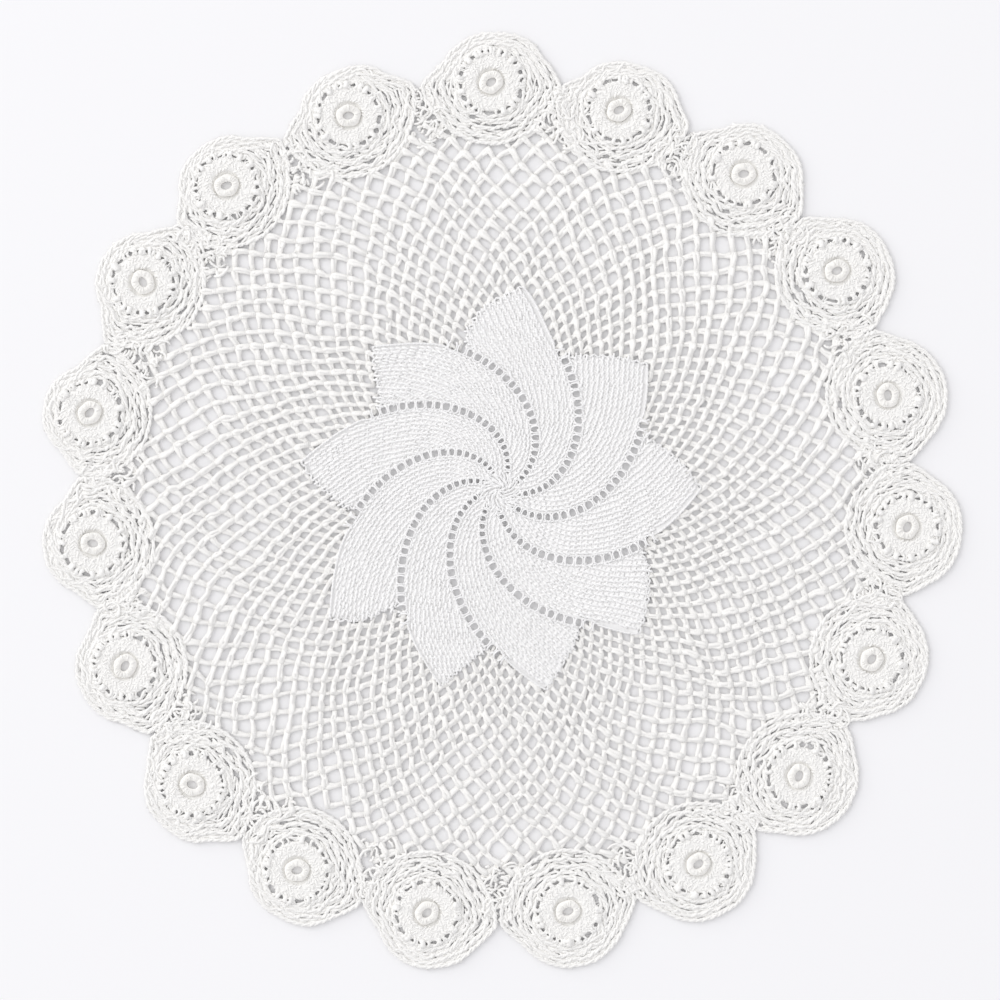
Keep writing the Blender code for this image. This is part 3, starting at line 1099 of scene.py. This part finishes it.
    def edges(self) -> list:
        """Follow the petal's three edges.

        Returns:
            The lines of its two long sides and of its cut edge.
        """
        near_points, far_points, cut_points = self.edge_points
        tip = self.plan.petal_end(self.index, 0.0)
        valley = self.plan.petal_end(self.index, 1.0)
        near = np.linspace(self.start_radius, tip - self.near_short, near_points)
        near_line = self.place(near, self.near_half(near) + self.rope_offset)
        far = np.linspace(self.start_radius, valley - self.far_short, far_points)
        width = self.plan.petal_width(self.index, far)
        far_line = self.place(far, width - self.plan.eyelet_half(far) - self.rope_offset)
        share = np.linspace(0, 1, cut_points)
        wave = self.cut_wave * np.sin(self.cut_wave_pace * share)
        end = self.plan.petal_end(self.index, share) - self.cut_short + wave
        width = self.plan.petal_width(self.index, end)
        near_inset = self.near_half(end) + self.rope_offset
        far_inset = self.plan.eyelet_half(end) + self.rope_offset
        cut = self.place(end, near_inset + (width - near_inset - far_inset) * share)
        return [near_line, far_line, cut]

    def base(self) -> tuple:
        """Make the closed bed of thread that the stitches lie on.

        Returns:
            Its points and its faces' corners.
        """
        long, wide = self.base_cells
        share = np.linspace(0, 1, wide)
        along = np.linspace(0, 1, long)[:, None]
        end = self.plan.petal_end(self.index, share) - self.base_short
        radius = self.start_radius + (end - self.start_radius) * along
        width = self.plan.petal_width(self.index, radius)
        near_inset = self.near_half(radius) + self.base_inset
        far_inset = self.plan.eyelet_half(radius) + self.base_inset
        flat = self.place(radius, near_inset + (width - near_inset - far_inset) * share)
        top = raised(flat, self.base_top).reshape(-1, 3)
        foot = raised(flat, self.base_foot).reshape(-1, 3)
        grid = np.arange(wide * long).reshape(long, wide)
        quads = np.stack([grid[:-1, :-1], grid[1:, :-1], grid[1:, 1:], grid[:-1, 1:]], axis=-1)
        upper = quads.reshape(-1, 4)[:, ::-1]
        lower = quads.reshape(-1, 4) + grid.size
        rim = np.concatenate([grid[0], grid[1:, -1], grid[-1, -2::-1], grid[-2:0:-1, 0]])
        after = np.roll(rim, -1)
        walls = np.stack([rim, rim + grid.size, after + grid.size, after], axis=-1)
        return np.concatenate([top, foot]), np.concatenate([upper, lower, walls[:, ::-1]])

    def build(self, finish: CottonFinish) -> bpy.types.Object:
        """Make the petal.

        Args:
            finish: The yarn's finish.

        Returns:
            The piece.
        """
        yarn = YarnMesh(f"petal_{self.index + 1}", self.hand)
        yarn.add_surface(*self.base())
        radius, across = self.stitches()
        over = self.legs(self.over_leg, radius, across)
        yarn.add_threads(over, self.thread_radius, pressed=self.thread_press)
        under = self.legs(self.under_leg, radius, across)
        yarn.add_threads(under, self.thread_radius * self.under_share, pressed=self.thread_press)
        for line, height in zip(self.edges(), self.rope_heights, strict=True):
            yarn.add_threads(self.rope(line, height), self.rope_thread)
        return yarn.make(finish)


@dataclass
class Eyelets:
    """The bars that part the eyelets of each line, and the round middle of the swirl."""

    plan: GroundPlan
    first_radius: float = 9.0
    past_valley: float = 1
    pitch_radii: tuple = (9, 34)
    pitches: tuple = (2.7, 3.7)
    pitch_unevenness: float = 0.12
    thread_radius: float = 0.45
    thread_swell: tuple = (1.45, 1.0, 1.0, 1.45)
    bar_spread: float = 0.34
    bar_unevenness: float = 0.07
    overlap: float = 0.8
    middle_rounds: tuple = (0.4, 1.4, 2.3, 3.2, 4.1, 5.0, 5.9, 6.8, 7.7)
    middle_pitch: float = 1.5
    fewest_stitches: int = 3
    middle_turn_deg: float = 27
    middle_unevenness_deg: float = 12
    middle_half_length: float = 0.95
    middle_lean: float = 0.8
    least_lean_radius: float = 1.2
    reach_unevenness: float = 0.3
    height_unevenness: float = 0.1
    middle_thread: float = 0.5
    bed_spokes: int = 40
    seed: int = 31

    bar = (
        PathPoint(2.9, -1.0, 1.5),
        PathPoint(0.85, -0.45, 1.8),
        PathPoint(0.85, 0.45, 1.8),
        PathPoint(2.9, 1.0, 1.5),
    )
    stitch = (
        PathPoint(-1.0, -1.0, 1.35),
        PathPoint(-0.4, -0.4, 1.62),
        PathPoint(0.4, 0.4, 1.62),
        PathPoint(1.0, 1.0, 1.35),
    )
    bed = ((0.1, 0.3), (0.1, 1.3), (7.8, 1.3), (8.4, 0.9), (8.4, 0.3))

    def __post_init__(self) -> None:
        """Take up the hand that works them."""
        self.hand = HandWork(self.seed)

    def bars(self, index: int) -> np.ndarray:
        """Lay the bars across one eyelet line.

        Args:
            index: Which line.

        Returns:
            The threads' paths.
        """
        petal = Petal(self.plan, index)
        radii = [self.first_radius]
        while radii[-1] < EYELET_LINES[index].valley + self.past_valley:
            pitch = np.interp(radii[-1], self.pitch_radii, self.pitches)
            radii.append(radii[-1] + pitch * math.cos(self.plan.lean(np.array(radii[-1]))))
        radius = np.array(radii) + self.hand.spread((len(radii),), self.pitch_unevenness)
        half = self.plan.eyelet_half(radius) + self.overlap
        middle = petal.place(radius, np.zeros_like(radius))[:, None]
        column = petal.heading(radius, np.zeros_like(radius))
        side = quarter_turn(column)[:, None]
        spreads, shares, heights = np.array(self.bar).T
        paths = []
        for offset in (-self.bar_spread, self.bar_spread):
            uneven = self.hand.spread((len(radius), len(shares)), self.bar_unevenness)
            aside = offset * spreads + uneven
            across = side * (half[:, None] * shares)[..., None]
            paths.append(raised(middle + across + column[:, None] * aside[..., None], heights))
        return np.concatenate(paths)

    def middle(self) -> np.ndarray:
        """Work the stitches of the swirl's middle, which lean with the petals.

        Returns:
            The stitches' paths.
        """
        leans, reaches, heights = np.array(self.stitch).T
        paths = []
        for order, radius in enumerate(self.middle_rounds):
            count = max(int(2 * math.pi * radius / self.middle_pitch), self.fewest_stitches)
            angle = even_bearings(count) + self.middle_turn_deg * order
            spread = self.hand.spread(angle.shape, self.middle_unevenness_deg / (1 + radius))
            angle = (angle + spread)[:, None]
            reach = radius + self.middle_half_length * reaches
            reach = np.abs(reach + self.hand.spread((count, 1), self.reach_unevenness))
            lean = np.degrees(self.middle_lean * leans / max(radius, self.least_lean_radius))
            height = heights + self.hand.spread((count, 1), self.height_unevenness)
            paths.append(raised(self.plan.laid(reach, angle + lean), height))
        return np.concatenate(paths)

    def middle_bed(self) -> tuple:
        """Fill in under the middle's stitches.

        Returns:
            The surface's points and its faces' corners.
        """
        radii, heights = np.array(self.bed).T
        angle = even_bearings(self.bed_spokes)[:, None]
        return closed_ring(self.plan.laid(radii + 0 * angle, angle + 0 * radii), heights)

    def build(self, finish: CottonFinish) -> bpy.types.Object:
        """Make the bars and the middle as one piece.

        Args:
            finish: The yarn's finish.

        Returns:
            The piece.
        """
        yarn = YarnMesh("eyelet_bars", self.hand)
        for index in range(self.plan.petals):
            yarn.add_threads(self.bars(index), self.thread_radius * np.array(self.thread_swell))
        yarn.add_threads(self.middle(), self.middle_thread)
        yarn.add_surface(*self.middle_bed())
        return yarn.make(finish)


@dataclass
class Wheel:
    """One crocheted wheel: a padded ring, a dense ring, a round of eyelets and rounds of chain."""

    plan: GroundPlan
    index: int
    hole_length: float = 4.5
    hole_width: float = 3.1
    padded_outer: float = 4.85
    ring_oval: float = 0.06
    ring_lobes: int = 5
    ring_lobe_share: float = 0.5
    surface_spokes: int = 40
    wraps: int = 30
    wrap_radius: float = 0.45
    wrap_unevenness: float = 0.12
    wrap_unevenness_deg: float = 3.0
    wrap_lean_deg: float = 4
    dense_rounds: tuple = (6.8, 8.1, 9.4, 10.7)
    dense_outer: float = 11.7
    dense_pitch: float = 1.3
    dense_length: float = 2.0
    dense_lean: float = 0.75
    dense_thread: float = 0.54
    dense_unevenness_deg: float = 2.0
    dense_lean_unevenness: float = 0.25
    dense_unevenness: float = 0.15
    dense_height_unevenness: float = 0.08
    first_round: float = 13.7
    rounds: tuple = (0.0, 0.165, 0.44, 0.72, 1.0)
    rope: Rope = Rope()
    rope_drift: float = 0.55
    edge_drift: float = 0.1
    drift_length: float = 9
    fine_bearings: int = 721
    fill_rows: tuple = (0.07, 0.18, 0.29, 0.40, 0.51, 0.62, 0.73, 0.84, 0.94)
    fill_pitch: float = 2.2
    fill_length: float = 4.4
    fill_share: float = 0.14
    fill_thread: float = 0.66
    fill_press: float = 0.6
    fill_lean: float = 0.35
    fill_unevenness: float = 0.3
    fill_length_unevenness: float = 0.18
    fill_lean_unevenness: float = 0.1
    fill_height_unevenness: float = 0.1
    open_side: float = 0.6
    posts: int = 26
    post_thread: float = 0.8
    post_unevenness: float = 0.5
    post_press: float = 0.8
    post_net_spacing: float = 0.7
    post_unevenness_deg: float = 4.2
    post_side_unevenness: float = 0.2
    post_tuck: float = 0.6
    post_extra: float = 0.9
    edge_inset: float = 0.9
    net_reach: float = 25.6
    widest_outwards: tuple = (-0.55, 0.05)
    widest_reaches: tuple = (26.2, 29.5)
    first_seed: int = 500

    stitch = (
        PathPoint(-1.0, -1.0, 1.30),
        PathPoint(-0.4, -0.55, 1.68),
        PathPoint(0.4, 0.55, 1.68),
        PathPoint(1.0, 1.0, 1.30),
    )
    fill = (
        PathPoint(-1.0, -1.0, 1.02),
        PathPoint(0.0, 0.0, 1.30),
        PathPoint(1.0, 1.0, 1.02),
    )
    post = (
        PathPoint(0.0, 0.9, 1.5),
        PathPoint(1 / 3, 0.3, 1.55),
        PathPoint(2 / 3, 0.3, 1.5),
        PathPoint(1.0, 1.0, 1.4),
    )
    wrap = (
        PathPoint(0.0, -0.5, 0.7),
        PathPoint(0.03, -0.47, 1.8),
        PathPoint(0.18, -0.32, 2.4),
        PathPoint(0.8, 0.3, 2.36),
        PathPoint(0.97, 0.47, 1.7),
        PathPoint(1.0, 0.5, 0.8),
    )
    bed = ((4.0, 0.3), (4.0, 1.0), (5.7, 1.0), (6.3, 1.92), (11.1, 1.92), (11.8, 1.4), (11.8, 0.3))
    padding = (
        (0.05, 0.2),
        (0.0, 1.8),
        (0.10, 2.45),
        (0.30, 2.6),
        (0.80, 2.5),
        (0.95, 2.0),
        (0.99, 1.5),
        (0.95, 0.4),
    )

    def __post_init__(self) -> None:
        """Measure the wheel's outline from its hole."""
        self.hand = HandWork(self.first_seed + self.index)
        self.wheel = WHEELS[self.index]
        self.hole = self.plan.hole(self.index)
        away = self.plan.wheel_outline(self.index) - self.hole
        bearing = np.degrees(np.arctan2(away[:, 1], away[:, 0])) % FULL_TURN
        order = np.argsort(bearing)
        self.bearings = bearing[order]
        self.reaches = np.linalg.norm(away, axis=1)[order]

    def netward(self, bearing_deg: np.ndarray) -> np.ndarray:
        """Tell how much bearings point to the net: 1 straight to it, 0 to a side or away."""
        return np.maximum(np.cos(np.radians(bearing_deg - self.wheel.angle_deg - FULL_TURN / 2)), 0)

    def reach(self, bearing_deg: np.ndarray) -> np.ndarray:
        """Measure how far the outline is from the hole.

        Args:
            bearing_deg: Bearings from the hole.

        Returns:
            The distances.
        """
        reach = np.interp(bearing_deg % FULL_TURN, self.bearings, self.reaches, period=FULL_TURN)
        outward = np.cos(np.radians(bearing_deg - self.wheel.angle_deg))
        reach = np.where(outward < 0, np.maximum(reach, self.net_reach), reach)
        return np.minimum(reach, np.interp(outward, self.widest_outwards, self.widest_reaches))

    def round_line(self, share: float, pitch: float) -> tuple:
        """Follow a round between the eyelets and the outline, in even steps.

        Args:
            share: 0 at the eyelets and 1 at the outline.
            pitch: How far apart the points are.

        Returns:
            The bearings and distances from the hole.
        """
        bearing = np.linspace(0, FULL_TURN, self.fine_bearings)
        outer = self.reach(bearing) - self.edge_inset
        distance = self.first_round + (outer - self.first_round) * share
        run = run_along(polar(distance, bearing))
        even = np.linspace(0, run[-1], int(run[-1] / pitch), endpoint=False)
        return np.interp(even, run, bearing), np.interp(even, run, distance)

    def round_rope(self, share: float) -> np.ndarray:
        """Work one round of rope.

        Args:
            share: 0 at the eyelets and 1 at the outline.

        Returns:
            The plies' paths.
        """
        bearing, distance = self.round_line(share, self.rope.step)
        spot = polar(distance, bearing)
        size = self.rope_drift if share < 1 else self.edge_drift
        spot = self.hole + spot + self.hand.drift(spot, size, self.drift_length)
        return self.rope.plies(self.hand, spot[None], polar(np.ones_like(bearing), bearing)[None])

    def short_stitches(self, spot: np.ndarray, along: np.ndarray, lean: float) -> np.ndarray:
        """Work one short stitch at each spot.

        Args:
            spot: The stitches' middles.
            along: Unit vectors along the round.
            lean: How far a stitch usually goes sideways over half its length.

        Returns:
            The stitches' paths.
        """
        points = np.array(self.fill)
        each = (len(spot), 1)
        length = self.fill_length / 2 * (1 + self.hand.spread(each, self.fill_length_unevenness))
        stretch = length * points[:, 0]
        lean = lean + self.hand.spread(each, abs(lean) + self.fill_lean_unevenness)
        aside = lean * points[:, 1]
        across = quarter_turn(along)
        lengthways = along[:, None] * stretch[..., None]
        flat = spot[:, None] + lengthways + across[:, None] * aside[..., None]
        return raised(flat, points[:, 2] + self.hand.spread(each, self.fill_height_unevenness))

    def fill_stitches(self) -> np.ndarray:
        """Work short stitches between the ropes, more where the rounds spread apart.

        Returns:
            The stitches' paths.
        """
        paths = []
        for order, share in enumerate(self.fill_rows):
            bearing, distance = self.round_line(share, self.fill_pitch)
            line = polar(distance, bearing)
            along = unit(np.roll(line, -1, axis=0) - np.roll(line, 1, axis=0))
            room = self.reach(bearing) - self.first_round
            chance = room * self.fill_share * (1 - self.open_side * self.netward(bearing))
            kept = self.hand.random.uniform(0, 1, len(bearing)) < chance
            spot = self.hole + line + self.hand.spread(line.shape, self.fill_unevenness)
            lean = self.fill_lean if order % 2 else -self.fill_lean
            paths.append(self.short_stitches(spot[kept], along[kept], lean))
        return np.concatenate(paths)

    def post_bearings(self) -> np.ndarray:
        """Choose where the posts between the eyelets stand: wider apart towards the net.

        Returns:
            The bearings.
        """
        bearing = np.linspace(0, FULL_TURN, self.fine_bearings)
        spacing = 1 + self.post_net_spacing * self.netward(bearing) ** 2
        run = np.concatenate([[0], np.cumsum(1 / spacing[1:])])
        even = np.linspace(0, run[-1], self.posts, endpoint=False)
        start = self.hand.random.uniform(0, FULL_TURN / self.posts)
        uneven = self.hand.spread(even.shape, self.post_unevenness_deg)
        return np.interp(even, run, bearing) + start + uneven

    def eyelet_posts(self) -> np.ndarray:
        """Lay the pairs of threads between the eyelets.

        Returns:
            The threads' paths.
        """
        bearing = self.post_bearings()
        steps, sides, heights = np.array(self.post).T
        length = self.first_round - self.dense_outer + self.post_extra
        distance = self.dense_outer - self.post_tuck + length * steps
        paths = []
        for side in (-1, 1):
            uneven = self.hand.spread((len(bearing), len(sides)), self.post_side_unevenness)
            angles = bearing[:, None] + np.degrees((side * sides + uneven) / distance)
            paths.append(raised(self.hole + polar(distance, angles), heights))
        return np.concatenate(paths)

    def hole_radius(self, bearing_deg: np.ndarray) -> np.ndarray:
        """Measure the oval hole.

        Args:
            bearing_deg: Bearings from its middle.

        Returns:
            The distances to its edge.
        """
        turned = np.radians(bearing_deg - self.wheel.hole_turn_deg)
        return 1 / np.hypot(
            np.cos(turned) / (self.hole_length / 2), np.sin(turned) / (self.hole_width / 2)
        )

    def ring_radius(self, bearing_deg: np.ndarray) -> np.ndarray:
        """Measure the padded ring, which follows the oval hole unevenly.

        Args:
            bearing_deg: Bearings from its middle.

        Returns:
            The distances to its outer edge.
        """
        turned = np.radians(bearing_deg - self.wheel.hole_turn_deg)
        lobes = self.ring_lobe_share * np.cos(self.ring_lobes * turned + self.index)
        return self.padded_outer * (1 + self.ring_oval * (np.cos(2 * turned) + lobes))

    def padded_ring(self) -> np.ndarray:
        """Wrap thread over the ring round the hole.

        Returns:
            The wraps' paths.
        """
        bearing = even_bearings(self.wraps)
        bearing = bearing + self.hand.spread(bearing.shape, self.wrap_unevenness_deg)
        inner = self.hole_radius(bearing)
        outer = self.ring_radius(bearing) + self.hand.spread(bearing.shape, self.wrap_unevenness)
        shares, leans, heights = np.array(self.wrap).T
        height = heights + self.hand.spread((self.wraps, 1), self.wrap_unevenness)
        room = outer - inner - 2 * self.wrap_radius
        distance = (inner + self.wrap_radius)[:, None] + room[:, None] * shares
        flat = self.hole + polar(distance, bearing[:, None] + self.wrap_lean_deg * leans)
        return raised(flat, height)

    def round_surface(self, profile: tuple, padded: bool = False) -> tuple:
        """Turn a closed section round the hole.

        Args:
            profile: Its points, as radii and heights.
            padded: Whether the radii are shares of the way over the padded ring.

        Returns:
            The surface's points and its faces' corners.
        """
        radii, heights = np.array(profile).T
        bearing = even_bearings(self.surface_spokes)[:, None]
        edge = self.hole_radius(bearing)
        over_ring = edge + (self.ring_radius(bearing) - edge) * radii
        distance = over_ring if padded else radii + 0 * bearing
        return closed_ring(self.hole + polar(distance, bearing + 0 * distance), heights)

    def dense_stitches(self) -> np.ndarray:
        """Lay the small stitches of the dense ring.

        Returns:
            The stitches' paths.
        """
        along, across, heights = np.array(self.stitch).T
        paths = []
        for order, radius in enumerate(self.dense_rounds):
            count = int(2 * math.pi * radius / self.dense_pitch)
            each = (count, 1)
            bearing = even_bearings(count)
            bearing = bearing + self.hand.spread(bearing.shape, self.dense_unevenness_deg)
            lean = self.dense_lean if order % 2 else -self.dense_lean
            lean = lean + self.hand.spread(each, self.dense_lean_unevenness)
            outward = radius + lean * across + self.hand.spread(each, self.dense_unevenness)
            ahead = np.degrees(self.dense_length / 2 * along / radius)
            height = heights + self.hand.spread(each, self.dense_height_unevenness)
            flat = self.hole + polar(outward, bearing[:, None] + ahead)
            paths.append(raised(flat, height))
        return np.concatenate(paths)

    def build(self, finish: CottonFinish, ring_finish: CottonFinish) -> tuple:
        """Make the wheel's rounds, its small stitches and its padded ring.

        Args:
            finish: The yarn's finish.
            ring_finish: The padded ring's finish.

        Returns:
            The three pieces.
        """
        name = f"wheel_{self.index + 1:02d}"
        yarn = YarnMesh(f"{name}_rounds", self.hand)
        for share in self.rounds:
            plies = self.round_rope(share)
            yarn.add_threads(plies, self.rope.ply_radius, closed=True, pressed=self.rope.press)
        rounds = yarn.make(finish)
        stitches = YarnMesh(f"{name}_stitches", self.hand)
        stitches.add_threads(self.fill_stitches(), self.fill_thread, pressed=self.fill_press)
        posts = self.eyelet_posts()
        thick = self.post_thread * (1 + self.hand.spread((len(posts), 1), self.post_unevenness))
        stitches.add_threads(posts, thick, pressed=self.post_press)
        stitches.add_surface(*self.round_surface(self.bed))
        stitches.add_threads(self.dense_stitches(), self.dense_thread)
        ring = YarnMesh(f"{name}_ring", self.hand)
        ring.add_surface(*self.round_surface(self.padding, padded=True))
        wraps = self.padded_ring()
        outward = unit(wraps[:, -1] - wraps[:, 0])
        beside = np.cross(outward, UPRIGHT)[:, None]
        ring.add_threads(wraps, self.wrap_radius, upright=beside)
        return rounds, stitches.make(finish), ring.make(ring_finish)


@dataclass
class SeamLoops:
    """The small loops, worked every way, that close each seam between two wheels."""

    plan: GroundPlan
    first_radius: float = 148.5
    last_inset: float = 2.4
    half_widths: tuple = (9.0, 5.0, 3.0)
    loops: int = 66
    loop_radius: float = 3.2
    size_unevenness: float = 0.3
    sweeps_deg: tuple = (35, 110)
    heights: tuple = (1.1, 1.4, 1.5, 1.4, 1.1)
    height_unevenness: float = 0.2
    unevenness: float = 0.15
    thread_radius: float = 0.68
    press: float = 0.6
    seed: int = 71

    def __post_init__(self) -> None:
        """Take up the hand that works them."""
        self.hand = HandWork(self.seed)

    def spots(self, index: int) -> np.ndarray:
        """Choose where the loops of one seam lie.

        Args:
            index: Which wheel the seam follows.

        Returns:
            The loops' middles.
        """
        seam = self.plan.seams[index]
        last = np.linalg.norm(self.plan.notch(index) + self.plan.middle) - self.last_inset
        share = (np.arange(self.loops) + self.hand.random.uniform(0, 1, self.loops)) / self.loops
        radius = self.first_radius + (last - self.first_radius) * share
        half = np.interp(share, np.linspace(0, 1, len(self.half_widths)), self.half_widths)
        aside = self.hand.random.uniform(-1, 1, self.loops) * half
        return polar(radius, seam + np.degrees(aside / radius)) - self.plan.middle

    def loop_paths(self) -> np.ndarray:
        """Curl one thread round each spot.

        Returns:
            The threads' paths.
        """
        spot = np.concatenate([self.spots(index) for index in range(len(WHEELS))])
        points = len(self.heights)
        each, every = (len(spot), 1), (len(spot), points)
        start = self.hand.random.uniform(0, FULL_TURN, each)
        sweep = self.hand.random.uniform(*self.sweeps_deg, each) * np.linspace(-0.5, 0.5, points)
        size = self.loop_radius * (1 + self.hand.spread(each, self.size_unevenness))
        flat = spot[:, None] + polar(size + self.hand.spread(every, self.unevenness), start + sweep)
        height = np.array(self.heights) + self.hand.spread(each, self.height_unevenness)
        return raised(flat, height)

    def build(self, finish: CottonFinish) -> bpy.types.Object:
        """Make the loops of all the seams.

        Args:
            finish: The yarn's finish.

        Returns:
            The piece.
        """
        yarn = YarnMesh("seam_loops", self.hand)
        yarn.add_threads(self.loop_paths(), self.thread_radius, pressed=self.press)
        return yarn.make(finish)


@dataclass(frozen=True)
class Studio:
    """The floor, the soft light and the camera straight above."""

    view_side: float = 0.405
    lens: float = 90.0
    film: float = 36.0
    aim: tuple = (-0.0010125, 0.0002025, 0.001)
    floor_side: float = 4.0
    floor_colour: tuple = (0.952, 0.947, 0.948)
    floor_roughness: float = 0.95
    floor_shine: float = 0.1
    key_size: float = 4.0
    key_place: tuple = (-3.8, 2.2, 4.1)
    key_power: float = 84.0
    low_size: float = 3.0
    low_place: tuple = (-5.0, 2.9, 1.3)
    low_power: float = 70.0
    fill: tuple = (0.99, 0.99, 1.022)
    fill_strength: float = 0.807

    def floor(self) -> None:
        """Lay the plain floor."""
        half = self.floor_side / 2
        mesh = bpy.data.meshes.new("floor")
        corners = [(-half, -half, 0), (half, -half, 0), (half, half, 0), (-half, half, 0)]
        mesh.from_pydata(corners, [], [(0, 1, 2, 3)])
        material = bpy.data.materials.new("plain_floor")
        material.use_nodes = True
        shader = material.node_tree.nodes["Principled BSDF"]
        shader.inputs["Base Color"].default_value = (*self.floor_colour, 1)
        shader.inputs["Roughness"].default_value = self.floor_roughness
        shader.inputs["Specular IOR Level"].default_value = self.floor_shine
        mesh.materials.append(material)
        floor = bpy.data.objects.new("floor", mesh)
        bpy.context.scene.collection.objects.link(floor)

    def soft_light(self, name: str, size: float, place: tuple, power: float) -> None:
        """Aim one large round light at the doily.

        Args:
            name: What it is called.
            size: How wide it is, in metres.
            place: Where it stands.
            power: Its power in watts.
        """
        light = bpy.data.lights.new(name, "AREA")
        light.shape = "DISK"
        light.size = size
        light.energy = power
        lamp = bpy.data.objects.new(name, light)
        lamp.location = place
        way = np.array(self.aim) - np.array(place)
        lamp.rotation_euler = (
            math.atan2(math.hypot(way[0], way[1]), -way[2]),
            0,
            math.atan2(way[1], way[0]) - math.pi / 2,
        )
        bpy.context.scene.collection.objects.link(lamp)

    def lights(self) -> None:
        """Set two soft lights at the upper left and an even surround."""
        self.soft_light("softbox", self.key_size, self.key_place, self.key_power)
        self.soft_light("low_softbox", self.low_size, self.low_place, self.low_power)
        world = bpy.data.worlds.new("surround")
        world.use_nodes = True
        sky = world.node_tree.nodes["Background"]
        sky.inputs["Color"].default_value = (*self.fill, 1)
        sky.inputs["Strength"].default_value = self.fill_strength
        bpy.context.scene.world = world

    def camera(self) -> None:
        """Hang the camera straight above."""
        lens = bpy.data.cameras.new("camera")
        lens.lens = self.lens
        lens.sensor_width = self.film
        camera = bpy.data.objects.new("camera", lens)
        height = self.view_side * self.lens / self.film
        camera.location = (self.aim[0], self.aim[1], self.aim[2] + height)
        bpy.context.scene.collection.objects.link(camera)
        bpy.context.scene.camera = camera

    def build(self) -> None:
        """Set up the whole studio."""
        self.floor()
        self.lights()
        self.camera()
        bpy.context.scene.view_settings.view_transform = "Standard"


class Doily:
    """The whole doily."""

    knitted = CottonFinish(
        name="knitted_yarn",
        light=(0.995, 0.981, 0.946),
        dark=(0.972, 0.957, 0.922),
    )
    close_knitted = CottonFinish(
        name="close_knitted_yarn",
        light=(0.998, 0.99, 0.976),
        dark=(0.986, 0.977, 0.963),
    )
    crochet = CottonFinish(
        name="crochet_yarn",
        light=(0.994, 0.982, 0.95),
        dark=(0.98, 0.966, 0.934),
        roughness=0.8,
        ply_length=1.8,
    )
    padded = CottonFinish(
        name="padded_ring_yarn",
        light=(0.992, 0.976, 0.935),
        dark=(0.975, 0.955, 0.91),
        roughness=0.8,
        ply_length=1.8,
        relief_strength=0.5,
    )

    net_cover = 0.95

    def __init__(self) -> None:
        """Draw up the plan."""
        self.plan = GroundPlan()

    def build(self) -> None:
        net = Net(self.plan).build(self.knitted)
        petals = [
            Petal(self.plan, index).build(self.close_knitted) for index in range(self.plan.petals)
        ]
        bars = Eyelets(self.plan).build(self.close_knitted)
        band = SeamLoops(self.plan).build(self.crochet)
        for piece in (*net, *petals, bars, band):
            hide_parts("knitted_ground")
        for index in range(len(WHEELS)):
            pieces = Wheel(self.plan, index).build(self.crochet, self.padded)
            for piece in pieces:
                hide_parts(f"wheel_{index + 1:02d}")


def main() -> None:
    """Build the doily and the studio, and note the sizes."""
    logging.basicConfig(level=logging.INFO, format="%(name)s: %(message)s")
    Doily().build()
    Studio().build()
    LOG.info("all pieces: %d triangles", YarnMesh.total_triangles)


if __name__ == "__main__":
    main()
